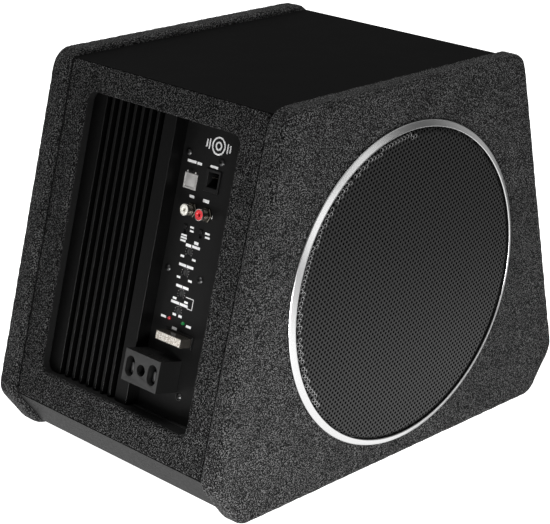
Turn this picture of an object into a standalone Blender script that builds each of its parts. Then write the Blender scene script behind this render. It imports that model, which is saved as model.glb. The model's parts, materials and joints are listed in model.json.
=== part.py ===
"""Powered car subwoofer: a ten inch driver behind a flush grille, in a box with slanted sides whose
left side holds a recessed amplifier.

Metres, +Z up. The box stands on z = 0, the grille faces -Y and the amplifier faces -X. The origin is
on the floor, under the middle of the whole object.
"""
import math

import bmesh
import bpy
from mathutils import Matrix, Vector

# Box: front and rear boards share one six-sided outline, and the body between them is smaller all round
HEIGHT = 0.3255
TOP_HALF_WIDTH = 0.1427
WAIST_HALF_WIDTH = 0.2136
FOOT_HALF_WIDTH = 0.1849
WAIST_HEIGHT = 0.0387
DEPTH = 0.270
END_BOARD = 0.019
PANEL = 0.018
PROUD = 0.005
CORNER_RADIUS = 0.019
BOARD_EDGE = 0.0025
GAP = 0.0003

# Driver and grille: heights are in front of the front board's face
DRIVER_HEIGHT = 0.1546
RING_RADIUS = 0.1375
RING_INNER = 0.1325
RING_OUTER_RISE = 0.0018
RING_RISE = 0.0042
RING_SEAT = 0.1297
RING_SPIGOT = 0.008
BAFFLE_HOLE = 0.1318
MESH_RADIUS = 0.1316
MESH_THICKNESS = 0.001
MESH_BEND = 0.1272
MESH_SHOULDER = 0.0032
FLANGE_RADIUS = 0.1305
DRIVER_CUTOUT = 0.1175
MOUNTING_BOARD = 0.015
WADDING = 0.022
LEAD_OFFSET = 0.0065

# Amplifier window, in the side's own frame: u runs to the front, v up the slant, w out of the box
WINDOW_FROM_TOP = 0.1426
AMPLIFIER_REARWARD = 0.001
WINDOW_REAR = -0.0919
WINDOW_FRONT = 0.0889
WINDOW_HALF = 0.1197
WINDOW_CORNER = 0.008
RECESS = 0.0235
PANEL_SHEET = 0.002
SHELF = 0.0258
BACKBOARD_DEPTH = 0.0333
SINK_FACE = -0.0105
SINK_FLOOR = -0.0215
SINK_FRONT = 0.0078
REAR_LAND = 0.0156
FRONT_LAND = 0.0140
FIN_COUNT = 7
FIN = 0.003
TRAY_BACK = -0.052
TRAY_WALL = 0.0015
TRAY_HALF = 0.112
BOARD_LEVEL = -0.044
BOARD_SHEET = 0.0016
SOCKET_FOOT = -0.030

# Controls: each centre is (u, v)
PANEL_SCREWS = {
    "panel_screw_top_rear": (0.0152, 0.0923), "panel_screw_top_front": (0.0525, 0.0918),
    "panel_screw_middle_rear": (0.0152, -0.0027), "panel_screw_middle_front": (0.0525, -0.0032),
    "panel_screw_bottom_rear": (0.0152, -0.1000), "panel_screw_bottom_front": (0.0528, -0.0990),
}
SCREW_HEAD = 0.0029
SCREW_SHANK = 0.0015
HIGH_LEVEL = (0.0223, 0.0702)
HIGH_LEVEL_SIZE = (0.0140, 0.0125)
REMOTE = (0.0466, 0.0755)
REMOTE_SIZE = (0.0160, 0.0180)
RCA = {"left": (0.0300, 0.0486), "right": (0.0470, 0.0486)}
RCA_RADIUS = 0.0048
RCA_BORE = 0.0043
RCA_REACH = 0.0095
SWITCHES = {"phase": (0.0262, 0.0342), "auto_on": (0.0441, 0.0342)}
SWITCH_KNOB = (0.0030, 0.0032)
SWITCH_TRAVEL = 0.0035
TRIMMERS = {"level": 0.0157, "low_pass": -0.0015, "bass_boost": -0.0189, "subsonic": -0.0330}
TRIMMER_U = 0.0348
TRIMMER_RADIUS = 0.0029
LAMPS = {"protect": (0.0265, -0.0412), "power": (0.0425, -0.0412)}
LAMP_RADIUS = 0.0015
FUSE = (0.0410, -0.0540)
FUSE_SIZE = (0.0292, 0.0076)
FUSE_TOP = -0.0115
HOLDER_SIZE = (0.0322, 0.0100)
TERMINAL = (0.0290, -0.0834)
TERMINAL_SIZE = (0.0410, 0.0260)
TERMINAL_HOLE = (0.0380, 0.0220)
ENTRY_PITCH = 0.0130
ENTRY_DEPTH = 0.0150
CLAMP_SCREW = 0.0021
CLAMP_LEVEL = -0.0085

# Fineness of the round shapes
FINE = 64
MEDIUM = 30
COARSE = 16
TOLERANCE = 0.00001

FRONT_FACE = -(DEPTH - RING_RISE) / 2
REAR_FACE = FRONT_FACE + DEPTH
BODY_FRONT = FRONT_FACE + END_BOARD + GAP
BODY_REAR = REAR_FACE - END_BOARD - GAP
CENTRE_Y = (FRONT_FACE + REAR_FACE) / 2
PANEL_LEVEL = -RECESS

CARPET = ((0.055, 0.055, 0.058), 0.95, 0.0)
VINYL = ((0.03, 0.03, 0.032), 0.45, 0.0)
SMOOTH_BLACK = ((0.008, 0.008, 0.008), 0.35, 0.0)
SATIN_SILVER = ((0.75, 0.75, 0.76), 0.3, 1.0)
BLACK_STEEL = ((0.015, 0.015, 0.016), 0.5, 0.6)
BLACK_ALUMINIUM = ((0.012, 0.012, 0.013), 0.4, 0.8)
BARE_BOARD = ((0.45, 0.32, 0.2), 0.8, 0.0)
BLACK_PLASTIC = ((0.012, 0.012, 0.012), 0.45, 0.0)
GREY_PLASTIC = ((0.12, 0.12, 0.12), 0.5, 0.0)
WHITE_PLASTIC = ((0.75, 0.75, 0.72), 0.4, 0.0)
RED_PLASTIC = ((0.5, 0.02, 0.02), 0.35, 0.0)
GREEN_PLASTIC = ((0.02, 0.4, 0.1), 0.3, 0.0)
NICKEL = ((0.6, 0.6, 0.58), 0.25, 1.0)
PLAIN_STEEL = ((0.4, 0.4, 0.4), 0.4, 0.9)
COPPER = ((0.55, 0.25, 0.1), 0.35, 0.9)
BLACK_RUBBER = ((0.01, 0.01, 0.01), 0.7, 0.0)
BLACK_PAPER = ((0.02, 0.02, 0.02), 0.8, 0.0)
SPIDER_CLOTH = ((0.5, 0.3, 0.05), 0.9, 0.0)
FERRITE = ((0.03, 0.03, 0.03), 0.7, 0.1)
CIRCUIT_GREEN = ((0.02, 0.16, 0.06), 0.4, 0.0)
POLYESTER = ((0.7, 0.7, 0.68), 0.95, 0.0)
CLEAR_GREY = ((0.6, 0.6, 0.55), 0.3, 0.0)


def clear_scene():
    for obj in list(bpy.data.objects):
        bpy.data.objects.remove(obj, do_unlink=True)


def new_collection(name):
    group = bpy.data.collections.new(name)
    bpy.context.scene.collection.children.link(group)
    return group


def material(name, look):
    colour, roughness, metallic = look
    made = bpy.data.materials.new(name)
    made.use_nodes = True
    shader = made.node_tree.nodes["Principled BSDF"]
    shader.inputs["Base Color"].default_value = (*colour, 1.0)
    shader.inputs["Roughness"].default_value = roughness
    shader.inputs["Metallic"].default_value = metallic
    return made


def add(name, data, parent, at, look):
    """A new object under its frame; with no look it is a cutter."""
    obj = bpy.data.objects.new(name, data)
    (PARTS if look else CUTTERS).objects.link(obj)
    if look:
        data.materials.append(material(name, look))
    else:
        obj.hide_render = True
        obj.display_type = "WIRE"
    obj.parent = parent
    obj.location = at
    return obj


def frame(name, matrix):
    empty = bpy.data.objects.new(name, None)
    PARTS.objects.link(empty)
    empty.matrix_world = matrix
    return empty


# Outlines

def inset(corners, distance):
    """A convex outline with every side moved inward."""
    centre = sum(corners, Vector((0.0, 0.0))) / len(corners)
    sides = []
    for index, start in enumerate(corners):
        along = (corners[(index + 1) % len(corners)] - start).normalized()
        inward = Vector((-along.y, along.x))
        if inward.dot(centre - start) < 0:
            inward.negate()
        sides.append((start + inward * distance, along))
    result = []
    for index, (point, along) in enumerate(sides):
        before, before_along = sides[index - 1]
        reach = (point - before).cross(along) / before_along.cross(along)
        result.append(before + before_along * reach)
    return result


def rounded(corners, radius, steps=5):
    """An outline whose corners are arcs."""
    points = []
    for index, corner in enumerate(corners):
        back = (corners[index - 1] - corner).normalized()
        ahead = (corners[(index + 1) % len(corners)] - corner).normalized()
        half = back.angle(ahead) / 2
        centre = corner + (back + ahead).normalized() * (radius / math.sin(half))
        start = corner + back * (radius / math.tan(half)) - centre
        end = corner + ahead * (radius / math.tan(half)) - centre
        first = math.atan2(start.y, start.x)
        turn = (math.atan2(end.y, end.x) - first + math.pi) % math.tau - math.pi
        for step in range(steps + 1):
            angle = first + turn * step / steps
            points.append(centre + Vector((math.cos(angle), math.sin(angle))) * radius)
    return points


def circle(radius, centre=(0.0, 0.0), steps=COARSE):
    angles = [math.tau * step / steps for step in range(steps)]
    return [Vector(centre) + Vector((math.cos(a), math.sin(a))) * radius for a in angles]


def rectangle(low, high):
    return [Vector(low), Vector((high[0], low[1])), Vector(high), Vector((low[0], high[1]))]


def centred(centre, size, margin=0.0):
    """A rectangle around a centre, larger by the margin on every side."""
    half = Vector(size) / 2 + Vector((margin, margin))
    return rectangle(Vector(centre) - half, Vector(centre) + half)


# Solids

def plate(name, outlines, top, bottom, look, parent, edge=0.0, at=(0.0, 0.0)):
    """A flat piece from its outline and holes, between two local heights."""
    curve = bpy.data.curves.new(name, "CURVE")
    curve.dimensions = "2D"
    curve.fill_mode = "BOTH"
    curve.extrude = (top - bottom) / 2 - edge
    curve.bevel_depth = edge
    curve.bevel_resolution = 0
    curve.offset = -edge
    for outline in outlines:
        spline = curve.splines.new("POLY")
        spline.points.add(len(outline) - 1)
        for point, position in zip(spline.points, outline):
            point.co = (position[0], position[1], 0.0, 1.0)
        spline.use_cyclic_u = True
    return add(name, curve, parent, (*at, (top + bottom) / 2), look)


def as_mesh(obj):
    """A curve's solid as a mesh of its own, with its caps welded."""
    bpy.context.view_layer.update()
    graph = bpy.context.evaluated_depsgraph_get()
    name, parent, place = obj.name, obj.parent, obj.location.copy()
    look = bool(obj.data.materials)
    mesh = bpy.data.meshes.new_from_object(obj.evaluated_get(graph))
    shape = bmesh.new()
    shape.from_mesh(mesh)
    bmesh.ops.remove_doubles(shape, verts=shape.verts, dist=TOLERANCE)
    shape.to_mesh(mesh)
    shape.free()
    bpy.data.objects.remove(obj, do_unlink=True)
    solid = bpy.data.objects.new(name, mesh)
    (PARTS if look else CUTTERS).objects.link(solid)
    solid.hide_render = not look
    solid.display_type = "TEXTURED" if look else "WIRE"
    solid.parent = parent
    solid.location = place
    return solid


def box(name, low, high, look, parent, at=(0.0, 0.0, 0.0)):
    shape = bmesh.new()
    bmesh.ops.create_cube(shape, size=1.0)
    middle = (Vector(low) + Vector(high)) / 2
    size = Vector(high) - Vector(low)
    bmesh.ops.scale(shape, vec=size, verts=shape.verts)
    bmesh.ops.translate(shape, vec=middle, verts=shape.verts)
    mesh = bpy.data.meshes.new(name)
    shape.to_mesh(mesh)
    shape.free()
    return add(name, mesh, parent, at, look)


def turned(name, profile, look, parent, at=(0.0, 0.0, 0.0), steps=MEDIUM, ring=True):
    """A turned piece: (radius, height) points down its outer side and, for a ring, back up inside."""
    mesh = bpy.data.meshes.new(name)
    points = [(radius, 0.0, height) for radius, height in profile]
    edges = [(index, index + 1) for index in range(len(points) - 1)]
    if ring:
        edges.append((len(points) - 1, 0))
    mesh.from_pydata(points, edges, [])
    obj = add(name, mesh, parent, at, look)
    screw = obj.modifiers.new("turn", "SCREW")
    screw.angle = math.tau
    screw.steps = steps
    screw.render_steps = steps
    screw.use_merge_vertices = True
    screw.merge_threshold = TOLERANCE
    screw.use_smooth_shade = True
    return obj


def cylinder(name, radius, top, bottom, look, parent, at=(0.0, 0.0, 0.0), steps=COARSE):
    profile = [(0.0, top), (radius, top), (radius, bottom), (0.0, bottom)]
    return turned(name, profile, look, parent, at, steps, ring=False)


def change(target, tool, operation="DIFFERENCE"):
    modifier = target.modifiers.new(tool.name, "BOOLEAN")
    modifier.operation = operation
    modifier.solver = "EXACT"
    modifier.object = tool
    return target


def wire(name, points, radius, look, parent):
    curve = bpy.data.curves.new(name, "CURVE")
    curve.dimensions = "3D"
    curve.bevel_depth = radius
    curve.bevel_resolution = 1
    curve.use_fill_caps = True
    spline = curve.splines.new("POLY")
    spline.points.add(len(points) - 1)
    for point, position in zip(spline.points, points):
        point.co = (*position, 1.0)
    return add(name, curve, parent, (0.0, 0.0, 0.0), look)


# Box

def board_outline():
    right = [
        Vector((TOP_HALF_WIDTH, HEIGHT)),
        Vector((WAIST_HALF_WIDTH, WAIST_HEIGHT)),
        Vector((FOOT_HALF_WIDTH, 0.0)),
    ]
    left = [Vector((-point.x, point.y)) for point in reversed(right)]
    return [left[-1], *right, *left[:-1]]


def make_end_boards(box_frame):
    outline = rounded(board_outline(), CORNER_RADIUS)
    hole = circle(BAFFLE_HOLE, (0.0, DRIVER_HEIGHT), FINE)
    front, rear = -FRONT_FACE, -REAR_FACE
    plate("front_baffle", [outline, hole], front, front - END_BOARD, CARPET, box_frame, BOARD_EDGE)
    plate("rear_panel", [outline], rear + END_BOARD, rear, CARPET, box_frame, BOARD_EDGE)


def make_body_panels(box_frame):
    outer = inset(board_outline(), PROUD)
    inner = inset(board_outline(), PROUD + PANEL)
    panels = [
        ("top_panel", SMOOTH_BLACK), ("plain_side_panel", CARPET), ("right_chamfer_panel", VINYL),
        ("bottom_panel", VINYL), ("left_chamfer_panel", VINYL), ("amp_side_panel", CARPET),
    ]
    for index, (name, look) in enumerate(panels):
        follow = (index + 1) % len(panels)
        trim = (outer[follow] - outer[index]).normalized() * GAP
        section = [outer[index] + trim, outer[follow] - trim, inner[follow] - trim, inner[index] + trim]
        plate(name, [section], -BODY_FRONT, -BODY_REAR, look, box_frame)


def cut_amplifier_window(amp_frame):
    side = as_mesh(bpy.data.objects["amp_side_panel"])
    cutter = plate("window_cutter", [window_outline()], PANEL, -2 * PANEL, None, amp_frame)
    change(side, as_mesh(cutter))


def make_mounting_board(driver_frame):
    inner = inset(board_outline(), PROUD + PANEL + GAP)
    outline = [point - Vector((0.0, DRIVER_HEIGHT)) for point in inner]
    hole = circle(DRIVER_CUTOUT, steps=FINE)
    top = -END_BOARD - GAP
    plate("woofer_mounting_board", [outline, hole], top, top - MOUNTING_BOARD, BARE_BOARD, driver_frame)


def make_wadding(box_frame):
    left_limit = -0.065
    inner = inset(board_outline(), PROUD + PANEL + 2 * GAP)
    top_left = Vector((left_limit, inner[0].y))
    bottom_left = Vector((left_limit, inner[3].y))
    outline = [top_left, *inner[1:4], bottom_left]
    back = -BODY_REAR + GAP
    plate("damping_wadding", [outline], back + WADDING, back, POLYESTER, box_frame)


# Grille and driver: local z runs out of the front board

def make_grille(driver_frame):
    lip = 0.0005
    seat = 0.0006
    ring = [
        (RING_INNER - lip, RING_RISE), (RING_INNER + lip, RING_RISE), (RING_RADIUS, RING_OUTER_RISE),
        (RING_RADIUS, GAP), (BAFFLE_HOLE - GAP, GAP), (BAFFLE_HOLE - GAP, -RING_SPIGOT),
        (RING_SEAT, -RING_SPIGOT), (RING_SEAT, seat), (RING_INNER - lip, seat),
    ]
    turned("grille_ring", ring, SATIN_SILVER, driver_frame, steps=FINE)
    rim = MESH_RADIUS - GAP / 2
    bottom = seat + GAP
    middle = rim / 2
    crown = RING_RISE - GAP / 3
    swell = (MESH_SHOULDER + 3 * crown) / 4
    mesh = [
        (0.0, crown), (middle, swell), (MESH_BEND, MESH_SHOULDER), (rim, bottom + MESH_THICKNESS),
        (rim, bottom), (MESH_BEND - MESH_THICKNESS / 3, MESH_SHOULDER - MESH_THICKNESS),
        (middle, swell - MESH_THICKNESS), (0.0, crown - MESH_THICKNESS),
    ]
    turned("grille_mesh", mesh, BLACK_STEEL, driver_frame, steps=FINE, ring=False)


def make_basket(driver_frame):
    seat = -END_BOARD
    profile = [
        (0.1120, seat + 0.0025), (FLANGE_RADIUS, seat + 0.0025), (FLANGE_RADIUS, seat), (0.1165, seat),
        (0.1140, -0.0240), (0.0700, -0.0760), (0.0660, -0.0800), (0.0300, -0.0800), (0.0300, -0.0780),
        (0.0640, -0.0780), (0.0680, -0.0745), (0.1115, -0.0235), (0.1120, seat),
    ]
    basket = turned("woofer_basket", profile, BLACK_STEEL, driver_frame)
    window_count = 6
    low = (0.060, -0.022, -0.062)
    high = (0.130, 0.022, -0.032)
    for index in range(window_count):
        window = box(f"basket_window_{index}", low, high, None, driver_frame)
        window.rotation_euler.z = math.tau * (index + 0.5) / window_count
        change(basket, window)


def make_suspension(driver_frame):
    seat = -END_BOARD + 0.0025 + GAP
    gasket = [(0.1215, seat + 0.0025), (0.1300, seat + 0.0025), (0.1300, seat), (0.1215, seat)]
    turned("woofer_gasket", gasket, BLACK_RUBBER, driver_frame)
    middle = 0.105
    roll = 0.008
    skin = 0.0009
    steps = 5
    angles = [math.pi * step / steps for step in range(steps + 1)]
    over = [(middle - roll * math.cos(a), seat + skin + roll * math.sin(a)) for a in angles]
    under = [(middle + (roll - skin) * math.cos(a), seat + (roll - skin) * math.sin(a)) for a in angles]
    surround = [(0.0930, seat + skin), *over, (0.1212, seat + skin), (0.1212, seat), *under, (0.0930, seat)]
    turned("woofer_surround", surround, BLACK_RUBBER, driver_frame)
    inner = 0.0262
    outer = 0.0738
    level = -0.066
    wave = 0.0016
    pitch = 0.0159
    thickness = 0.0007
    count = 12
    line = [inner + (outer - inner) * step / count for step in range(count + 1)]
    ripple = [(radius, level + wave * math.sin(math.tau * (radius - inner) / pitch)) for radius in line]
    lower = [(radius, height - thickness) for radius, height in reversed(ripple)]
    turned("woofer_spider", [*ripple, *lower], SPIDER_CLOTH, driver_frame, steps=COARSE)


def make_cone(cone_frame):
    cone = [
        (0.0930, -0.0169), (0.0970, -0.0169), (0.0970, -0.0178), (0.0922, -0.0182), (0.0270, -0.0574),
        (0.0260, -0.0574), (0.0260, -0.0560), (0.0915, -0.0172),
    ]
    turned("woofer_cone", cone, BLACK_PAPER, cone_frame)
    rim = 0.040
    foot = -0.0470
    rise = 0.012
    skin = 0.0008
    steps = 4
    angles = [math.pi / 2 * step / steps for step in range(steps + 1)]
    outside = [(rim * math.sin(a), foot + rise * math.cos(a)) for a in angles]
    inside = [((rim - skin) * math.sin(a), foot + (rise - skin) * math.cos(a)) for a in reversed(angles)]
    turned("woofer_dust_cap", [*outside, *inside], BLACK_PAPER, cone_frame, ring=False)
    coil = [
        (0.0250, -0.0480), (0.0256, -0.0480), (0.0256, -0.0753), (0.0272, -0.0753), (0.0272, -0.0933),
        (0.0250, -0.0933),
    ]
    turned("woofer_voice_coil", coil, COPPER, cone_frame)


def make_magnet_system(driver_frame):
    plate_profile = [(0.0280, -0.0803), (0.0620, -0.0803), (0.0620, -0.0883), (0.0280, -0.0883)]
    turned("woofer_top_plate", plate_profile, PLAIN_STEEL, driver_frame)
    magnet = [(0.0320, -0.0886), (0.0660, -0.0886), (0.0660, -0.1086), (0.0320, -0.1086)]
    turned("woofer_magnet", magnet, FERRITE, driver_frame)
    yoke = [
        (0.0080, -0.0805), (0.0240, -0.0805), (0.0240, -0.1089), (0.0600, -0.1089), (0.0600, -0.1169),
        (0.0080, -0.1169),
    ]
    turned("woofer_yoke", yoke, PLAIN_STEEL, driver_frame)


def make_woofer_terminals(driver_frame):
    foot = (-0.1060, -0.0110, -0.0500)
    head = (-0.1000, 0.0110, -0.0420)
    strip = box("woofer_terminals", foot, head, GREY_PLASTIC, driver_frame)
    for index, side in enumerate((-1, 1)):
        middle = LEAD_OFFSET * side
        low = (-0.1070, middle - 0.0012, -0.0470)
        high = (-0.1030, middle + 0.0012, -0.0450)
        change(strip, box(f"terminal_slot_{index}", low, high, None, driver_frame))


def make_leads():
    """Two leads from the woofer's terminals to the amplifier tray, with a slack bow between."""
    radius = 0.0014
    count = 12
    for name, height in (("speaker_lead_positive", LEAD_OFFSET), ("speaker_lead_negative", -LEAD_OFFSET)):
        start = Vector((-0.1065, FRONT_FACE + 0.0385, DRIVER_HEIGHT + height))
        end = Vector((-0.1212, FRONT_FACE + 0.0700, DRIVER_HEIGHT + height))
        points = []
        for step in range(count + 1):
            share = step / count
            bow = math.sin(math.pi * share)
            ease = share * share * (3 - 2 * share)
            points.append(start.lerp(end, ease) + Vector((0.0, 0.012 * share * (1 - share), -0.008 * bow)))
        wire(name, points, radius, BLACK_RUBBER, None)


# Amplifier

def window_outline(margin=0.0):
    low = Vector((WINDOW_REAR + margin, -WINDOW_HALF + margin))
    high = Vector((WINDOW_FRONT - margin, WINDOW_HALF - margin))
    return rounded(rectangle(low, high), WINDOW_CORNER - margin)


def make_backboard(amp_frame):
    """The board behind the side: a rebate as large as the window, and a smaller hole for the tray."""
    outline = rectangle((-0.1100, -0.1280), (0.0980, 0.1250))
    hole = rectangle((-0.0860, -0.1130), (0.0830, 0.1130))
    board = plate("amp_backboard", [outline, hole], -PANEL - GAP, -BACKBOARD_DEPTH, BARE_BOARD, amp_frame)
    cutter = plate("rebate_cutter", [window_outline()], 0.0, -SHELF - GAP, None, amp_frame)
    change(as_mesh(board), as_mesh(cutter))


def make_heatsink(amp_frame):
    """An extrusion along the slant: a wide land at each side, and thin fins in deep grooves between."""
    rear = WINDOW_REAR + GAP
    first = rear + REAR_LAND
    last = SINK_FRONT - FRONT_LAND
    groove = (last - first - FIN_COUNT * FIN) / (FIN_COUNT + 1)
    bottom = -SHELF + GAP
    section = [(rear, bottom), (SINK_FRONT, bottom), (SINK_FRONT, SINK_FACE), (last, SINK_FACE)]
    right = last
    for _ in range(FIN_COUNT):
        left = right - groove
        section += [(right, SINK_FLOOR), (left, SINK_FLOOR), (left, SINK_FACE), (left - FIN, SINK_FACE)]
        right = left - FIN
    section += [(right, SINK_FLOOR), (first, SINK_FLOOR), (first, SINK_FACE), (rear, SINK_FACE)]
    reach = WINDOW_HALF - GAP
    sink = plate("amp_heatsink", [section], reach, -reach, BLACK_ALUMINIUM, amp_frame)
    sink = as_mesh(sink)
    sink.rotation_euler.x = math.pi / 2
    keeper = plate("sink_corner_keeper", [window_outline(GAP)], PANEL, -2 * PANEL, None, amp_frame)
    change(sink, as_mesh(keeper), "INTERSECT")


def slot(name, centre, size, look, parent, top, bottom):
    """A square sided block around a centre."""
    half_u, half_v = size[0] / 2, size[1] / 2
    low = (-half_u, -half_v, bottom)
    high = (half_u, half_v, top)
    return box(name, low, high, look, parent, (*centre, 0.0))


def make_control_panel(amp_frame):
    front = WINDOW_FRONT - GAP
    reach = WINDOW_HALF - GAP
    rear = SINK_FRONT + GAP
    arc = rounded(rectangle((rear, -reach), (front, reach)), WINDOW_CORNER - GAP)
    quarter = len(arc) // 4
    outline = [Vector((rear, -reach)), *arc[quarter:3 * quarter], Vector((rear, reach))]
    holes = [
        centred(HIGH_LEVEL, HIGH_LEVEL_SIZE, GAP), centred(REMOTE, REMOTE_SIZE, GAP),
        centred(FUSE, HOLDER_SIZE, GAP), centred(TERMINAL, TERMINAL_HOLE, GAP),
    ]
    holes += [circle(SCREW_SHANK + GAP, centre, 12) for centre in PANEL_SCREWS.values()]
    holes += [circle(RCA_RADIUS + GAP, centre) for centre in RCA.values()]
    run = (SWITCH_KNOB[0], SWITCH_KNOB[1] + SWITCH_TRAVEL)
    holes += [centred((u, v - SWITCH_TRAVEL / 2), run, GAP) for u, v in SWITCHES.values()]
    holes += [circle(TRIMMER_RADIUS + GAP, (TRIMMER_U, v), 20) for v in TRIMMERS.values()]
    holes += [circle(LAMP_RADIUS + GAP, centre, 12) for centre in LAMPS.values()]
    back = PANEL_LEVEL - PANEL_SHEET
    plate("amp_control_panel", [outline, *holes], PANEL_LEVEL, back, BLACK_STEEL, amp_frame)


def make_tray(amp_frame):
    """The amplifier's tray: an open box behind the heatsink and the control panel."""
    wall = Vector((TRAY_WALL, TRAY_WALL, TRAY_WALL))
    low = Vector((-0.085, -TRAY_HALF, TRAY_BACK))
    high = Vector((0.082, TRAY_HALF, -SHELF - GAP))
    tray = box("amp_tray", low, high, PLAIN_STEEL, amp_frame)
    inside = box("tray_hollow", low + wall, (high.x - TRAY_WALL, high.y - TRAY_WALL, 0.0), None, amp_frame)
    change(tray, inside)
    board_low = (low.x + 2 * TRAY_WALL, low.y + 2 * TRAY_WALL, BOARD_LEVEL - BOARD_SHEET)
    board_high = (high.x - 2 * TRAY_WALL, high.y - 2 * TRAY_WALL, BOARD_LEVEL)
    box("amp_circuit_board", board_low, board_high, CIRCUIT_GREEN, amp_frame)
    loop = 0.0200
    wrap = 0.0075
    level = BOARD_LEVEL + GAP + wrap
    angles = [math.tau * step / 8 for step in range(8)]
    section = [(loop + wrap * math.sin(a), level + wrap * math.cos(a)) for a in angles]
    turned("amp_transformer", section, COPPER, amp_frame, (-0.045, 0.055, 0.0), COARSE)
    radius = 0.0075
    half = 0.0175
    can = [(0.0, half), (radius - 0.0005, half), (radius, half - 0.0005), (radius, -half), (0.0, -half)]
    place = (-0.045, -0.040, BOARD_LEVEL + GAP + radius)
    capacitor = turned("amp_capacitor", can, BLACK_PLASTIC, amp_frame, place, COARSE, ring=False)
    capacitor.rotation_euler.x = math.pi / 2


def make_panel_screws(amp_frame):
    foot = PANEL_LEVEL - PANEL_SHEET
    for name, centre in PANEL_SCREWS.items():
        seat = PANEL_LEVEL + GAP
        profile = [
            (0.0, seat + 0.0017), (0.0016, seat + 0.0015), (SCREW_HEAD - 0.0004, seat + 0.0007),
            (SCREW_HEAD, seat), (SCREW_SHANK, seat), (SCREW_SHANK, foot), (0.0, foot),
        ]
        turned(name, profile, BLACK_STEEL, amp_frame, (*centre, 0.0), 16, ring=False)


def make_sockets(amp_frame):
    wall = 0.0013
    face = PANEL_LEVEL + 0.0008
    back = -0.0380
    high = slot("high_level_socket", HIGH_LEVEL, HIGH_LEVEL_SIZE, WHITE_PLASTIC, amp_frame, face, back)
    well = (HIGH_LEVEL_SIZE[0] - 2 * wall, HIGH_LEVEL_SIZE[1] - 2 * wall)
    change(high, slot("high_level_well", HIGH_LEVEL, well, None, amp_frame, 0.0, face - 0.0100))
    remote = slot("remote_socket", REMOTE, REMOTE_SIZE, BLACK_PLASTIC, amp_frame, PANEL_LEVEL + 0.0012, back)
    jack = (REMOTE[0] + 0.0005, REMOTE[1] + 0.0008)
    change(remote, slot("remote_well", jack, (0.0118, 0.0122), None, amp_frame, 0.0, PANEL_LEVEL - 0.0115))


def make_rca_jacks(amp_frame):
    tip = PANEL_LEVEL + RCA_REACH
    nut = 0.0062
    nut_top = PANEL_LEVEL + 0.0022
    pin_hole = 0.0016
    hole_depth = 0.0075
    face = tip + 0.0002
    colours = {"left": WHITE_PLASTIC, "right": RED_PLASTIC}
    for name, centre in RCA.items():
        shell = [
            (RCA_BORE, tip), (RCA_RADIUS, tip), (RCA_RADIUS, nut_top), (nut, nut_top),
            (nut, PANEL_LEVEL + GAP), (RCA_RADIUS, PANEL_LEVEL + GAP), (RCA_RADIUS, SOCKET_FOOT),
            (RCA_BORE, SOCKET_FOOT),
        ]
        turned(f"rca_{name}_shell", shell, NICKEL, amp_frame, (*centre, 0.0), COARSE)
        outside = RCA_BORE - GAP
        core = [
            (0.0, tip - hole_depth), (pin_hole, tip - hole_depth), (pin_hole, face), (outside, face),
            (outside, SOCKET_FOOT), (0.0, SOCKET_FOOT),
        ]
        turned(f"rca_{name}_insulator", core, colours[name], amp_frame, (*centre, 0.0), COARSE, ring=False)


def make_switches(amp_frame):
    behind = PANEL_LEVEL - PANEL_SHEET - GAP
    proud = PANEL_LEVEL + 0.0012
    body_size = (0.0070, 0.0120)
    body_foot = -0.0330
    for name, centre in SWITCHES.items():
        slot(f"{name}_switch_knob", centre, SWITCH_KNOB, GREY_PLASTIC, amp_frame, proud, behind)
        middle = (centre[0], centre[1] - SWITCH_TRAVEL / 2)
        slot(f"{name}_switch_body", middle, body_size, PLAIN_STEEL, amp_frame, behind - GAP, body_foot)


def make_trimmers(amp_frame):
    top = PANEL_LEVEL - 0.0004
    foot = -0.0320
    blade = (0.0008, 0.0100)
    depth = 0.0012
    for name, v in TRIMMERS.items():
        place = (TRIMMER_U, v, 0.0)
        knob = cylinder(f"{name}_knob", TRIMMER_RADIUS, top, foot, BLACK_PLASTIC, amp_frame, place, 20)
        change(knob, slot(f"{name}_slot", place[:2], blade, None, amp_frame, 0.0, top - depth))


def make_lamps(amp_frame):
    top = PANEL_LEVEL + 0.0016
    for name, centre in LAMPS.items():
        look = GREEN_PLASTIC if name == "power" else RED_PLASTIC
        profile = [
            (0.0, top), (0.0008, top - 0.0003), (LAMP_RADIUS, top - 0.0012), (LAMP_RADIUS, SOCKET_FOOT),
            (0.0, SOCKET_FOOT),
        ]
        turned(f"{name}_lamp", profile, look, amp_frame, (*centre, 0.0), 12, ring=False)


def make_fuse(amp_frame):
    shoulder = PANEL_LEVEL + 0.0002
    rim = PANEL_LEVEL + 0.0012
    blade_top = shoulder + 0.0020
    blade_foot = -0.0360
    blade_size = (0.0080, 0.0008)
    slot_size = (0.0086, 0.0014)
    blade_offset = 0.0100
    holder = slot("fuse_holder", FUSE, HOLDER_SIZE, BLACK_PLASTIC, amp_frame, rim, blade_foot - 0.0030)
    well = (FUSE_SIZE[0] + 2 * GAP, FUSE_SIZE[1] + 2 * GAP)
    change(holder, slot("fuse_well", FUSE, well, None, amp_frame, 0.0, shoulder - GAP))
    fuse = slot("fuse", FUSE, FUSE_SIZE, CLEAR_GREY, amp_frame, FUSE_TOP, shoulder)
    for index, side in enumerate((-1, 1)):
        centre = (FUSE[0] + side * blade_offset, FUSE[1])
        clear = slot(f"blade_slot_{index}", centre, slot_size, None, amp_frame, 0.0, blade_foot - GAP)
        change(holder, clear)
        blade = slot(f"blade_{index}", centre, blade_size, None, amp_frame, blade_top, blade_foot)
        change(fuse, blade, "UNION")


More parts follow.
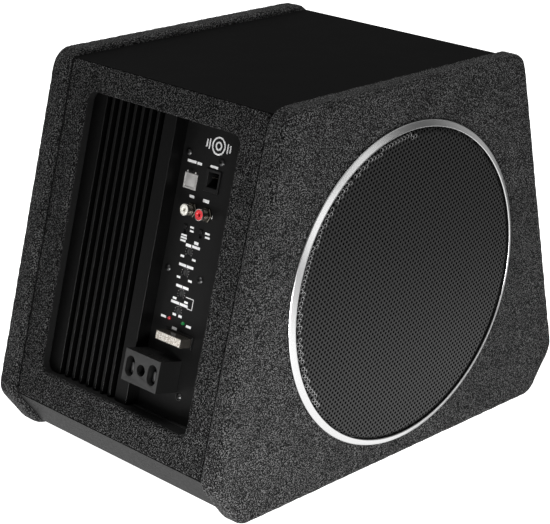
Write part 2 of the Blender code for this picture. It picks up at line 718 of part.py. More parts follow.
def make_power_terminal(amp_frame):
    """The three way block: wire entries in its face, and a clamp screw over each one."""
    top = 0.0
    foot = PANEL_LEVEL + GAP
    block = slot("power_terminal_block", TERMINAL, TERMINAL_SIZE, GREY_PLASTIC, amp_frame, top, foot)
    above = 0.0050
    head = TERMINAL[1] + TERMINAL_SIZE[1] / 2
    screw_top = head - 0.0008
    oval = (0.0100, 0.0170)
    round_entry = (0.0095, 0.0095)
    for index, (side, size) in enumerate(((-1, oval), (0, round_entry), (1, oval))):
        u = TERMINAL[0] + side * ENTRY_PITCH
        outline = rounded(centred((0.0, 0.0), size), size[0] / 2 - TOLERANCE)
        place = (u, TERMINAL[1])
        entry = plate(f"wire_entry_{index}", [outline], above, -ENTRY_DEPTH, None, amp_frame, at=place)
        change(block, as_mesh(entry))
        roof = TERMINAL[1] + size[1] / 2
        bore = cylinder(f"screw_bore_{index}", CLAMP_SCREW + GAP, head + above, roof - 0.0010, None, None)
        stand_on_slant(bore, amp_frame, u)
        change(block, bore)
        screw = cylinder(f"terminal_screw_{index + 1}", CLAMP_SCREW, screw_top, roof - 0.0005, NICKEL, None)
        stand_on_slant(screw, amp_frame, u)
        low = (-0.0004, -2 * CLAMP_SCREW, screw_top - 0.0010)
        high = (0.0004, 2 * CLAMP_SCREW, head)
        driver_slot = box(f"screw_slot_{index}", low, high, None, None)
        stand_on_slant(driver_slot, amp_frame, u)
        change(screw, driver_slot)


def stand_on_slant(obj, amp_frame, u):
    """Turn a piece so that its own z runs up the slant, over the middle of the wire entries."""
    obj.parent = amp_frame
    obj.location = (u, 0.0, CLAMP_LEVEL)
    obj.rotation_euler.x = -math.pi / 2


def amplifier_matrix():
    outer = inset(board_outline(), PROUD)
    top, waist = outer[0], outer[5]
    down = (waist - top).normalized()
    middle = top + down * WINDOW_FROM_TOP
    u_axis = Vector((0.0, -1.0, 0.0))
    v_axis = Vector((-down.x, 0.0, -down.y))
    w_axis = u_axis.cross(v_axis)
    turn = Matrix((u_axis, v_axis, w_axis)).transposed().to_4x4()
    return Matrix.Translation((middle.x, CENTRE_Y + AMPLIFIER_REARWARD, middle.y)) @ turn


def make_box(box_frame, driver_frame, amp_frame):
    make_end_boards(box_frame)
    make_body_panels(box_frame)
    cut_amplifier_window(amp_frame)
    make_mounting_board(driver_frame)
    make_wadding(box_frame)


def make_driver(driver_frame):
    make_grille(driver_frame)
    make_basket(driver_frame)
    make_suspension(driver_frame)
    make_cone(driver_frame)
    make_magnet_system(driver_frame)
    make_woofer_terminals(driver_frame)
    make_leads()


def make_amplifier(amp_frame):
    make_backboard(amp_frame)
    make_heatsink(amp_frame)
    make_control_panel(amp_frame)
    make_tray(amp_frame)
    make_panel_screws(amp_frame)
    make_sockets(amp_frame)
    make_rca_jacks(amp_frame)
    make_switches(amp_frame)
    make_trimmers(amp_frame)
    make_lamps(amp_frame)
    make_fuse(amp_frame)
    make_power_terminal(amp_frame)


clear_scene()
PARTS = new_collection("powered_car_subwoofer")
CUTTERS = new_collection("cutters")
FACING_FRONT = Matrix.Rotation(math.pi / 2, 4, "X")
box_axes = frame("box_axes", FACING_FRONT)
driver_axes = frame("driver_axes", Matrix.Translation((0.0, FRONT_FACE, DRIVER_HEIGHT)) @ FACING_FRONT)
amp_axes = frame("amp_axes", amplifier_matrix())
make_box(box_axes, driver_axes, amp_axes)
make_driver(driver_axes)
make_amplifier(amp_axes)
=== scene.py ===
"""Looks of the powered car subwoofer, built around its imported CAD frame.

Metres, +Z up, the grille faces -Y and the amplifier recess faces -X, as in the frame.
"""
import json
import random
from math import atan2, cos, degrees, pi, radians, sin, sqrt, tan, tau

import bmesh
import bpy
from mathutils import Matrix, Quaternion, Vector, noise


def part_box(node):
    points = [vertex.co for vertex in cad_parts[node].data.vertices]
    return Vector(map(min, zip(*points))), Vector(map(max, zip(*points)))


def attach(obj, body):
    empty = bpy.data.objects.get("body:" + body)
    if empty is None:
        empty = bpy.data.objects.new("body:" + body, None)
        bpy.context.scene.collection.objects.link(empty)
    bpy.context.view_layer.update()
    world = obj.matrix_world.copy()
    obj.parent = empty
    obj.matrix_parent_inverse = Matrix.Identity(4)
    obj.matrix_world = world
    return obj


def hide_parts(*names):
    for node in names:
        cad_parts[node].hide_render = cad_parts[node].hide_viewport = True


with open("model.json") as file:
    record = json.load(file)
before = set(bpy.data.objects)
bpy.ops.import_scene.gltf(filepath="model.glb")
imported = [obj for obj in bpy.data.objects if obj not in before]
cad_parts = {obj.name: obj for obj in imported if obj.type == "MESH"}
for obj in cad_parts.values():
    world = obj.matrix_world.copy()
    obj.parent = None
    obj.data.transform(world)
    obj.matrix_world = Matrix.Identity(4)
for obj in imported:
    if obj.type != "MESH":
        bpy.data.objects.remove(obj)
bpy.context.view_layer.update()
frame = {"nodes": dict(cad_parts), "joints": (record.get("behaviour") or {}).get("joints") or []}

MM = 0.001

# The end boards' sharp outline, and how far they stand proud of the body
TOP_HALF_WIDTH = 0.1427
WAIST_HALF_WIDTH = 0.2136
FOOT_HALF_WIDTH = 0.1849
WAIST_HEIGHT = 0.0387
CORNER_RADIUS = 0.019
PROUD = 0.005

# A side's thickness, its window's corners and the gap left between pieces
PANEL = 0.018
WINDOW_CORNER = 0.008
CLEAR = 0.0003

# Carpet: the boards' rolled edges, and the width of the painted shade in the creases beside the boards
ROLL = 0.0042
CREASE_SHADE_WIDTH = 0.0035

# A loose fibre: its half width and how deep it is rooted, then least and most length, bow and lift of its tip
FIBRE_HALF_WIDTH = 0.00008
FIBRE_ROOT = 0.0001
FIBRE_LENGTH = (0.0012, 0.003)
FIBRE_BOW = (0.0001, 0.0005)
FIBRE_TIP = (-0.0001, 0.0003)

# Camera: where it stands, and how it is turned and zoomed
CAMERA_PLACE = (-1.0562, -1.0153, 0.6804)
CAMERA_YAW = 44.318
CAMERA_PITCH = 20.338
CAMERA_ROLL = 1.12
CAMERA_LENS = 117.85

# Floor: its own light in view and beside it, and the angle and the width over which it fades
FLOOR_GLOW = 1.4
FLOOR_EDGE_GLOW = 0.25
FLOOR_VIEW = 10.5
FLOOR_FADE = 0.38

# Studio lamps: place, aim, size, power and spread in degrees
MIDDLE = (0.0, 0.0, 0.15)
LAMPS = (
    ("low_key", (-0.47, -0.44, 0.03), (-0.17, -0.14, 0.06), 0.14, 1.1, 110.0),
    ("left_softbox", (-0.05, -1.95, 0.55), MIDDLE, 0.9, 4.0, 180.0),
    ("right_softbox", (0.75, -1.95, 1.05), MIDDLE, 0.8, 2.5, 180.0),
    ("side_fill", (-2.0, -1.0, 0.9), MIDDLE, 1.0, 0.5, 180.0),
    ("right_card", (2.3, -0.35, 0.75), MIDDLE, 1.5, 2.4, 180.0),
    ("top_card", (0.0, 0.25, 2.3), MIDDLE, 1.0, 16.0, 180.0),
    ("rear_fill", (0.4, 2.4, 0.5), MIDDLE, 1.0, 6.0, 180.0),
)

# The level trimmer's place in the recess's frame
LEVEL_KNOB = Vector((0.0348, 0.0157, -0.0235))
JOINTS = {joint["name"]: joint for joint in frame["joints"]}


# Small helpers for shapes

def amplifier_matrix():
    """The recess's own frame: u runs to the front, v up the slant, w out of the box."""
    w_axis = Vector(JOINTS["fuse_pull"]["axis"]).normalized()
    v_axis = -Vector(JOINTS["phase_slide"]["axis"]).normalized()
    u_axis = v_axis.cross(w_axis)
    turn = Matrix((u_axis, v_axis, w_axis)).transposed().to_4x4()
    place = Matrix.Translation(Vector(JOINTS["level_turn"]["pos_m"])) @ turn
    return place @ Matrix.Translation(-LEVEL_KNOB)


AMP = amplifier_matrix()
AMP_BACK = AMP.inverted()


def local_box(node):
    """A node's lowest and highest corner in the recess's frame."""
    points = [AMP_BACK @ vertex.co for vertex in frame["nodes"][node].data.vertices]
    low = Vector([min(point[axis] for point in points) for axis in range(3)])
    high = Vector([max(point[axis] for point in points) for axis in range(3)])
    return low, high


def middle_of(node):
    low, high = local_box(node)
    return (low + high) / 2


RING_LOW, RING_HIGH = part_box("grille_ring")
BOARD_LOW, BOARD_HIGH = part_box("front_baffle")
REAR_LOW, REAR_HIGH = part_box("rear_panel")
DRIVER_Z = (RING_LOW.z + RING_HIGH.z) / 2
FRONT = BOARD_LOW.y
HEIGHT = BOARD_HIGH.z
DRIVER = Matrix.Translation((0.0, FRONT, DRIVER_Z)) @ Matrix.Rotation(pi / 2, 4, "X")
BODY_LOW, BODY_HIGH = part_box("amp_side_panel")
PANEL_FACE = local_box("amp_control_panel")[1].z


def linked(name, data):
    """A new object in the scene."""
    obj = bpy.data.objects.new(name, data)
    bpy.context.scene.collection.objects.link(obj)
    return obj


def piece(mesh, look, body="cabinet", replaced=(), sharp=40.0):
    """A finished piece of the object, named as its mesh: shaded, given its look and tied to its body."""
    obj = linked(mesh.name, mesh)
    mesh.materials.append(LOOKS[look])
    mesh.shade_smooth()
    mesh.set_sharp_from_angle(angle=radians(sharp))
    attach(obj, body)
    if replaced:
        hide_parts(*replaced)
    return obj


def mesh_of(name, shape):
    bmesh.ops.recalc_face_normals(shape, faces=shape.faces)
    mesh = bpy.data.meshes.new(name)
    shape.to_mesh(mesh)
    shape.free()
    return mesh


def sweep(angle, steps):
    """Even angles from nought to an angle."""
    return [angle * step / steps for step in range(steps + 1)]


def heading(angle):
    return Vector((cos(angle), sin(angle)))


def ring_body(name, rings, wrap, capped=True):
    """A mesh through rings of equally many points: wrapped like a tyre, or ending in caps or points."""
    shape = bmesh.new()
    rows = [[shape.verts.new(point) for point in ring] for ring in rings]
    count = len(rings[0])
    pairs = list(zip(rows, rows[1:]))
    if wrap:
        pairs.append((rows[-1], rows[0]))
    for row, following in pairs:
        for index in range(count):
            beside = (index + 1) % count
            shape.faces.new((row[index], row[beside], following[beside], following[index]))
    if capped and not wrap:
        shape.faces.new(rows[0])
        shape.faces.new(reversed(rows[-1]))
    bmesh.ops.remove_doubles(shape, verts=shape.verts, dist=1e-6)
    return mesh_of(name, shape)


def rounded(points, radius, steps=3, closed=True):
    """A 2D line whose corners are arcs, each no larger than its sides allow."""
    result = []
    count = len(points)
    for index, corner in enumerate(points):
        corner = Vector(corner)
        if not closed and index in (0, count - 1):
            result.append(corner)
            continue
        back = Vector(points[index - 1]) - corner
        ahead = Vector(points[(index + 1) % count]) - corner
        half = back.angle(ahead) / 2
        bend = min(radius, 0.45 * min(back.length, ahead.length) * tan(half))
        if half > 1.55 or bend < 1e-6:
            result.append(corner)
            continue
        back.normalize()
        ahead.normalize()
        centre = corner + (back + ahead).normalized() * (bend / sin(half))
        start = corner + back * (bend / tan(half)) - centre
        end = corner + ahead * (bend / tan(half)) - centre
        first = atan2(start.y, start.x)
        turn = (atan2(end.y, end.x) - first + pi) % tau - pi
        result += [centre + heading(first + angle) * bend for angle in sweep(turn, steps)]
    return result


def lathe(name, profile, matrix, steps=96, ring=True, soften=0.0, at=(0.0, 0.0)):
    """A turned mesh about the matrix's own z, from (radius, height) points; a ring's profile is closed."""
    line = rounded(profile, soften, closed=ring) if soften else [Vector(point) for point in profile]
    angles = sweep(tau, steps)[:-1]
    rings = []
    for radius, height in line:
        flat = [(at[0] + radius * cos(a), at[1] + radius * sin(a)) for a in angles]
        rings.append([matrix @ Vector((x, y, height)) for x, y in flat])
    return ring_body(name, rings, wrap=ring, capped=False)


def block(name, low, high, matrix, bevel, segments=2):
    """A box with rounded edges, placed in a frame."""
    shape = bmesh.new()
    bmesh.ops.create_cube(shape, size=1.0)
    size = Vector(high) - Vector(low)
    bmesh.ops.scale(shape, vec=size, verts=shape.verts)
    bmesh.ops.bevel(shape, geom=shape.edges, offset=bevel, segments=segments, affect="EDGES", profile=0.5)
    bmesh.ops.translate(shape, vec=(Vector(low) + Vector(high)) / 2, verts=shape.verts)
    bmesh.ops.transform(shape, matrix=matrix, verts=shape.verts)
    return mesh_of(name, shape)


def joined(name, meshes):
    """Several meshes in one."""
    shape = bmesh.new()
    for mesh in meshes:
        shape.from_mesh(mesh)
        bpy.data.meshes.remove(mesh)
    made = bpy.data.meshes.new(name)
    shape.to_mesh(made)
    shape.free()
    return made


def softened(name, node, width, look, body="cabinet", segments=2):
    """A CAD node's own shape with its edges rounded."""
    shape = bmesh.new()
    shape.from_mesh(frame["nodes"][node].data)
    bmesh.ops.remove_doubles(shape, verts=shape.verts, dist=1e-6)
    bmesh.ops.dissolve_limit(shape, angle_limit=radians(0.5), verts=shape.verts, edges=shape.edges)
    obj = piece(mesh_of(name, shape), look, body, (node,))
    bevel = obj.modifiers.new("rounded edges", "BEVEL")
    bevel.width = width
    bevel.segments = segments
    bevel.limit_method = "ANGLE"
    bevel.angle_limit = radians(32)
    bevel.harden_normals = True
    return obj


def ripple(mesh, height, size, seed):
    """Moves each vertex a little along its normal, as a soft covering does."""
    shift = Vector((seed, 2.0 * seed, 3.0 * seed))
    moves = []
    for vertex in mesh.vertices:
        swell = noise.fractal(vertex.co / size + shift, 0.9, 2.0, 3)
        moves.append(vertex.normal * (height * swell))
    for vertex, move in zip(mesh.vertices, moves):
        vertex.co += move


# Materials

def feed(tree, socket, value):
    """Links a socket to another, or sets its value."""
    if isinstance(value, bpy.types.NodeSocket):
        tree.links.new(value, socket)
    else:
        socket.default_value = value


def add_node(tree, kind, settings=None, **inputs):
    made = tree.nodes.new("ShaderNode" + kind)
    for key, value in (settings or {}).items():
        setattr(made, key, value)
    for key, value in inputs.items():
        feed(tree, made.inputs[key.replace("_", " ")], value)
    return made


def object_space(tree):
    return add_node(tree, "TexCoord").outputs["Object"]


def rgb(tone):
    """A colour as it is, or a grey from one tone."""
    return Vector((tone, tone, tone)) if isinstance(tone, float) else Vector(tone)


def material(name, colour, roughness, metallic=0.0, **inputs):
    made = bpy.data.materials.new(name)
    made.use_nodes = True
    shader = made.node_tree.nodes["Principled BSDF"]
    inputs.update(Base_Color=(*rgb(colour), 1.0), Roughness=roughness, Metallic=metallic)
    for key, value in inputs.items():
        shader.inputs[key.replace("_", " ")].default_value = value
    return made, made.node_tree, shader


def speckle(tree, scale, detail=2.0, rough=0.5, stretch=None, turn=(0.0, 0.0, 0.0), distortion=0.0):
    """Noise in the object's own metres; stretch scales the axes, turn rotates them."""
    coords = object_space(tree)
    if stretch:
        coords = add_node(tree, "Mapping", Vector=coords, Rotation=turn, Scale=stretch).outputs["Vector"]
    made = add_node(tree, "TexNoise", Vector=coords, Scale=scale, Detail=detail, Roughness=rough,
                    Distortion=distortion)
    return made.outputs["Fac"]


def cells(tree, scale):
    """Distance to the edge of irregular cells."""
    coords = object_space(tree)
    made = add_node(tree, "TexVoronoi", {"feature": "DISTANCE_TO_EDGE"}, Vector=coords, Scale=scale)
    return made.outputs["Distance"]


def ramp(tree, source, *stops):
    """A colour ramp through (place, tone or colour) stops."""
    made = add_node(tree, "ValToRGB", Fac=source)
    elements = made.color_ramp.elements
    while len(elements) < len(stops):
        elements.new(0.5)
    for element, (place, colour) in zip(elements, stops):
        element.position = place
        element.color = (*rgb(colour), 1.0)
    return made.outputs["Color"]


def math_node(tree, operation, first, second):
    made = add_node(tree, "Math", {"operation": operation})
    feed(tree, made.inputs[0], first)
    feed(tree, made.inputs[1], second)
    return made.outputs[0]


def weighted_sum(tree, first, share, second, other_share):
    """Two values, each times its share, added."""
    return math_node(tree, "ADD", math_node(tree, "MULTIPLY", first, share),
                     math_node(tree, "MULTIPLY", second, other_share))


def multiply_colours(tree, first, second):
    made = add_node(tree, "Mix", {"data_type": "RGBA", "blend_type": "MULTIPLY"}, Factor=1.0)
    colour_a, colour_b = [socket for socket in made.inputs if socket.type == "RGBA"]
    feed(tree, colour_a, first)
    feed(tree, colour_b, second)
    return next(socket for socket in made.outputs if socket.type == "RGBA")


def coloured(shader, source, *stops):
    """Colours a surface by a source, through a ramp if stops are given."""
    tree = shader.id_data
    feed(tree, shader.inputs["Base Color"], ramp(tree, source, *stops) if stops else source)


def roughened(shader, source, low, high):
    made = add_node(shader.id_data, "MapRange", Value=source, To_Min=low, To_Max=high)
    feed(shader.id_data, shader.inputs["Roughness"], made.outputs["Result"])


def bumped(shader, height, strength, distance):
    made = add_node(shader.id_data, "Bump", Height=height, Strength=strength, Distance=distance)
    feed(shader.id_data, shader.inputs["Normal"], made.outputs["Normal"])


def surface(name, colour, roughness, shade, stops, bump, grain=None, gloss=None, **inputs):
    """A material coloured by one noise, bumped by it or by a finer grain, and unevenly glossy.

    shade, grain and the first of gloss are speckle's settings, bump is strength and distance, and the
    rest of gloss is the lowest and highest roughness.
    """
    made, tree, shader = material(name, colour, roughness, **inputs)
    source = speckle(tree, *shade)
    coloured(shader, source, *stops)
    if gloss:
        noise_settings, low, high = gloss
        roughened(shader, speckle(tree, *noise_settings), low, high)
    bumped(shader, speckle(tree, *grain) if grain else source, *bump)
    return made


def carpet(name, lift, ground, sheen):
    """Charcoal heather felt: pale fibres crossing a near-black ground."""
    made, tree, shader = material(name, (0.04, 0.04, 0.042), 0.95, Sheen_Weight=sheen, Sheen_Roughness=0.6,
                                  Specular_IOR_Level=0.1)
    clumps = speckle(tree, 980.0, 1.0, 0.5)
    along_x = speckle(tree, 1.0, 1.0, 0.5, (420.0, 1900.0, 1900.0), (0.2, 0.5, 0.7), 0.3)
    along_z = speckle(tree, 1.0, 1.0, 0.5, (1900.0, 1900.0, 420.0), (0.4, 0.3, -0.5), 0.3)
    mixed = weighted_sum(tree, clumps, 0.68, math_node(tree, "MAXIMUM", along_x, along_z), 0.3)
    heather = ramp(tree, mixed, (0.42, 0.002 * ground), (0.482, 0.01 * ground), (0.54, 0.088 * ground),
                   (0.6, 0.4 * lift))
    patches = ramp(tree, speckle(tree, 42.0, 3.0), (0.3, 0.8), (0.7, 1.15))
    coloured(shader, multiply_colours(tree, heather, patches))
    bumped(shader, mixed, 0.8, 0.0006)
    return made


def vinyl():
    """Dark vinyl wrap with a fine leather grain."""
    made, tree, shader = material("vinyl_wrap", (0.0045, 0.0045, 0.0046), 0.5, Specular_IOR_Level=0.06)
    coloured(shader, speckle(tree, 70.0, 4.0), (0.3, 0.0034), (0.7, 0.0054))
    roughened(shader, speckle(tree, 300.0, 3.0), 0.42, 0.56)
    bumped(shader, cells(tree, 1300.0), 0.25, 0.0001)
    return made


def metal(name, colour, roughness, grain, stretch=None, turn=(0.0, 0.0, 0.0), bump=0.1):
    """Metal with fine grain, run one way if stretched."""
    base = rgb(colour)
    lines = (grain, 3.0, 0.6, stretch, turn)
    return surface(name, colour, roughness, lines, ((0.3, base * 0.85), (0.7, base * 1.08)), (bump, 0.00005),
                   gloss=(lines, roughness * 0.8, roughness * 1.25), metallic=1.0)


def coat(name, colour, roughness, grain, bump, specular=0.5):
    """Painted or moulded surface: even colour, small variation, fine texture."""
    base = rgb(colour)
    return surface(name, colour, roughness, (160.0, 3.0), ((0.3, base * 0.86), (0.7, base * 1.1)),
                   (bump, 0.0001), (grain, 2.0), ((420.0, 3.0), roughness * 0.88, roughness * 1.12),
                   Specular_IOR_Level=specular)


def lens(name, colour, glow):
    """A tinted lamp lens, faintly lit from inside."""
    base = rgb(colour)
    return surface(name, colour, 0.12, (700.0, 2.0), ((0.3, base * 0.8), (0.7, base * 1.15)), (0.05, 0.00005),
                   (2500.0, 1.0), Coat_Weight=0.6, Emission_Strength=glow, Emission_Color=(*colour, 1.0))


def cloth(name, dark, light, threads):
    """Woven cloth: two crossing sets of threads."""
    made, tree, shader = material(name, light, 0.9, Sheen_Weight=0.2)
    coords = object_space(tree)
    warp, weft = [add_node(tree, "TexWave", {"bands_direction": way}, Vector=coords, Scale=threads)
                  for way in ("X", "Z")]
    weave = math_node(tree, "MULTIPLY", warp.outputs["Fac"], weft.outputs["Fac"])
    coloured(shader, weave, (0.1, dark), (0.8, light))
    bumped(shader, weave, 0.5, 0.0002)
    return made


def circuit_board():
    """Green solder mask over copper tracks."""
    made, tree, shader = material("solder_mask", (0.01, 0.12, 0.05), 0.35)
    edge = cells(tree, 180.0)
    coloured(shader, edge, (0.04, (0.03, 0.22, 0.08)), (0.1, (0.01, 0.09, 0.04)))
    bumped(shader, edge, 0.2, 0.0001)
    return made


SLANT = atan2(AMP.col[1].x, AMP.col[1].z)
LOOKS = {
    "front": carpet("carpet_front", 0.3, 0.29, 0.022),
    # The sides: the front's carpet with a darker ground and weaker sheen, painted shade for the sides
    "side": carpet("carpet_side_painted_shade", 0.26, 0.14, 0.008),
    # A still darker tone of the same carpet: painted shade for the creases beside the boards
    "painted_crease_shade": carpet("carpet_painted_crease_shade", 0.09, 0.045, 0.0),
    # Loose wool, each fibre between near-black and pale grey
    "fibre": surface("loose_fibre", (0.06, 0.06, 0.062), 0.9, (300.0, 1.0),
                     ((0.42, 0.006), (0.52, 0.05), (0.62, 0.16)), (0.2, 0.00005), (5000.0, 1.0),
                     Specular_IOR_Level=0.2),
    # Smooth near-black covering with a faint orange peel and dull patches
    "laminate": surface("top_laminate", (0.004, 0.004, 0.0041), 0.5, (900.0, 3.0),
                        ((0.35, 0.0008), (0.65, 0.0015)), (0.12, 0.0001), (1500.0, 2.0),
                        ((24.0, 4.0), 0.42, 0.56), Specular_IOR_Level=0.05),
    "vinyl": vinyl(),
    "ring": metal("satin_ring", 0.6, 0.3, 2600.0),
    "mesh": coat("mesh_coat", 0.0052, 0.4, 3000.0, 0.3, 0.36),
    "painted_glint_edge": metal("painted_glint_edge", 0.34, 0.3, 3000.0),
    "sink": metal("black_anodised", 0.024, 0.42, 1.0, (1500.0, 1500.0, 18.0), (0.0, -SLANT, 0.0), 0.25),
    "panel": coat("panel_powder_coat", 0.0055, 0.5, 2600.0, 0.5, 0.28),
    "window_wall": coat("window_black_paint", 0.006, 0.6, 900.0, 0.6, 0.25),
    "black": coat("black_plastic", 0.006, 0.45, 2400.0, 0.25, 0.35),
    "grey": coat("grey_plastic", 0.032, 0.5, 2400.0, 0.3),
    "white": coat("white_nylon", (0.5, 0.49, 0.48), 0.42, 1800.0, 0.15),
    "ivory": coat("ivory_plastic", (0.93, 0.91, 0.84), 0.3, 1800.0, 0.1),
    "red": coat("red_plastic", (0.78, 0.05, 0.06), 0.3, 1800.0, 0.1),
    "print": coat("white_print", 0.93, 0.6, 3000.0, 0.2),
    "dark_metal_and_painted_shade": metal("dark_metal_and_painted_shade", (0.14, 0.13, 0.11), 0.22, 1800.0),
    "nickel": metal("nickel_plate", (0.72, 0.7, 0.66), 0.2, 1800.0),
    "gold": metal("gold_contacts", (0.83, 0.6, 0.25), 0.25, 2500.0),
    "steel": metal("zinc_steel", 0.5, 0.38, 900.0),
    "black_screw": metal("black_screw", 0.08, 0.35, 2500.0),
    "copper": metal("enamelled_copper", (0.6, 0.26, 0.09), 0.3, 1.0, (2500.0, 600.0, 600.0)),
    "ferrite": coat("ferrite", 0.02, 0.7, 1400.0, 0.8),
    "rubber": coat("moulded_rubber", 0.007, 0.62, 1600.0, 0.4, 0.25),
    # Pressed pulp: short dark fibres
    "paper": surface("pulp_cone", (0.02, 0.02, 0.021), 0.8,
                     (1.0, 3.0, 0.7, (700.0, 1500.0, 900.0), (0.5, 0.2, 0.9), 0.6),
                     ((0.35, 0.006), (0.7, 0.018)), (0.5, 0.0002), Specular_IOR_Level=0.3),
    "spider": cloth("spider_cloth", (0.25, 0.16, 0.03), (0.6, 0.42, 0.12), 500.0),
    "wadding": cloth("polyester_wadding", (0.5, 0.5, 0.48), (0.78, 0.78, 0.75), 60.0),
    # Bare fibreboard: pressed brown fibres
    "bare_board": surface("bare_fibreboard", (0.4, 0.28, 0.17), 0.85,
                          (1.0, 4.0, 0.7, (900.0, 500.0, 1200.0), (0.0, 0.3, 0.0)),
                          ((0.3, (0.28, 0.18, 0.1)), (0.7, (0.5, 0.37, 0.24))), (0.4, 0.0002)),
    "circuit": circuit_board(),
    "red_lens": lens("red_lens", (0.4, 0.01, 0.02), 0.15),
    "green_lens": lens("green_lens", (0.008, 0.17, 0.04), 0.1),
    # Milky plastic, mottled with sandy and white specks
    "fuse": surface("fuse_plastic", (0.72, 0.7, 0.65), 0.35, (1150.0, 2.0, 0.7, None, (0.0, 0.0, 0.0), 0.6),
                    ((0.4, (0.3, 0.24, 0.18)), (0.47, (0.6, 0.55, 0.48)), (0.56, (0.74, 0.71, 0.66)),
                     (0.66, (0.95, 0.94, 0.92))),
                    (0.25, 0.0001), gloss=((600.0, 2.0), 0.3, 0.45), Coat_Weight=0.2),
    "smoky": coat("smoky_plastic", (0.034, 0.031, 0.027), 0.25, 900.0, 0.1),
}


# Box: a carpet ripple is its height and size; a board's mesh has rings of points from its edge to its eye

BOARD_RIPPLE = (0.00035, 0.0065)
SIDE_RIPPLE = (0.00025, 0.006)
BOARD_POINTS = 460
BOARD_RINGS = 18
BOARD_EYE = 0.0005
SIDE_CORNER = 0.0006
SIDE_EDGE = 0.0011
WINDOW_ROLL = 0.0022


def board_corners(shrink=0.0):
    """The boards' six sharp corners in X and Z, moved inward by a distance."""
    right = [(TOP_HALF_WIDTH, HEIGHT), (WAIST_HALF_WIDTH, WAIST_HEIGHT), (FOOT_HALF_WIDTH, 0.0)]
    corners = [Vector(point) for point in right] + [Vector((-x, z)) for x, z in reversed(right)]
    sides = []
    for index, start in enumerate(corners):
        along = (corners[(index + 1) % len(corners)] - start).normalized()
        sides.append((start + Vector((along.y, -along.x)) * shrink, along))
    result = []
    for index, (point, along) in enumerate(sides):
        before, before_along = sides[index - 1]
        reach = (point - before).cross(along) / before_along.cross(along)
        result.append(before + before_along * reach)
    return result


def even_outline(corners, radius, count):
    """Evenly spaced (point, inward normal) pairs round an outline with arcs for corners."""
    line = rounded(corners, radius, 20)
    lengths = [0.0]
    for start, end in zip(line, line[1:] + line[:1]):
        lengths.append(lengths[-1] + (end - start).length)
    centre = sum(line, Vector((0.0, 0.0))) / len(line)
    points = []
    place = 0
    for index in range(count):
        target = lengths[-1] * index / count
        while lengths[place + 1] < target:
            place += 1
        start, end = line[place], line[(place + 1) % len(line)]
        share = (target - lengths[place]) / max(lengths[place + 1] - lengths[place], 1e-9)
        points.append(start.lerp(end, share))
    result = []
    for index, point in enumerate(points):
        along = (points[(index + 1) % count] - points[index - 1]).normalized()
        inward = Vector((-along.y, along.x))
        if inward.dot(centre - point) < 0:
            inward.negate()
        result.append((point, inward))
    return result


def rolled_edge(back, front, radius, steps=6):
    """(inset, y) pairs over a board's edge: up one rolled corner, along the side and over the other."""
    angles = sweep(pi / 2, steps)
    sign = 1 if back > front else -1
    first = [(radius - radius * sin(a), back - sign * (radius - radius * cos(a))) for a in angles]
    last = [(radius - radius * cos(a), front + sign * (radius - radius * sin(a))) for a in angles]
    between = [(0.0, back + (front - back) * share) for share in (0.35, 0.5, 0.65)]
    return first + between + last


def carpet_board(name, near, far, hole, node):
    """A thick board in carpet, from its hidden face over rolled edges to its shown face."""
    outline = even_outline(board_corners(), CORNER_RADIUS, BOARD_POINTS)
    centre = Vector((0.0, DRIVER_Z))
    rings = []
    for inset, y in rolled_edge(near, far, ROLL):
        rings.append([Vector((p.x + n.x * inset, y, p.y + n.y * inset)) for p, n in outline])
    edge = [Vector((p.x + n.x * ROLL, p.y + n.y * ROLL)) for p, n in outline]
    target = [centre + (point - centre).normalized() * (hole or BOARD_EYE) for point in edge]
    face = []
    for share in sweep(1.0, BOARD_RINGS)[1:]:
        face.append([start.lerp(end, share ** 1.15) for start, end in zip(edge, target)])
    rings += [[Vector((p.x, far, p.y)) for p in ring] for ring in face]
    if hole:
        rings.append([Vector((p.x, near, p.y)) for p in face[-1]])
    else:
        rings = [[Vector((p.x, near, p.y)) for p in ring] for ring in reversed(face)] + rings
    mesh = ring_body(name, rings, wrap=bool(hole))
    ripple(mesh, *BOARD_RIPPLE, 3.1)
    return piece(mesh, "front", replaced=(node,), sharp=60.0)


def four_corner_ring(low, high, radius, depth):
    """A rounded rectangle's points in the recess's frame, always with the same count on each stretch."""
    along_u, along_v, arc = 70, 90, 8
    corners = [(low[0], low[1]), (high[0], low[1]), (high[0], high[1]), (low[0], high[1])]
    turns = [pi, 1.5 * pi, 0.0, 0.5 * pi]
    inward = [(1, 1), (-1, 1), (-1, -1), (1, -1)]
    centres = [Vector(corner) + Vector(side) * radius for corner, side in zip(corners, inward)]
    points = []
    for index in range(4):
        for angle in sweep(pi / 2, arc):
            points.append(centres[index] + heading(turns[index] + angle) * radius)
        following = (index + 1) % 4
        start, end = points[-1], centres[following] + heading(turns[following]) * radius
        points += [start.lerp(end, share) for share in sweep(1.0, (along_u, along_v)[index % 2])[1:-1]]
    return [Vector((point.x, point.y, depth)) for point in points]


def side_rings(top, bottom, rear, front):
    """Rings from a side panel's back over its outer edges to its face, narrowing to its mitres."""
    top_mitre = tan(radians(38.0))
    waist_mitre = tan(radians(25.3))
    rings = []
    for depth in (-PANEL, -0.6 * PANEL, -SIDE_EDGE):
        low, high = (rear, bottom - depth * waist_mitre), (front, top + depth * top_mitre)
        rings.append(four_corner_ring(low, high, SIDE_CORNER, depth))
    for angle in sweep(pi / 2, 3)[1:]:
        pull = SIDE_EDGE * (1 - cos(angle))
        low, high = (rear + pull, bottom + pull), (front - pull, top - pull)
        rings.append(four_corner_ring(low, high, SIDE_CORNER, -SIDE_EDGE * (1 - sin(angle))))
    return rings


def mirrored(point):
    return Vector((-point.x, point.y, point.z))


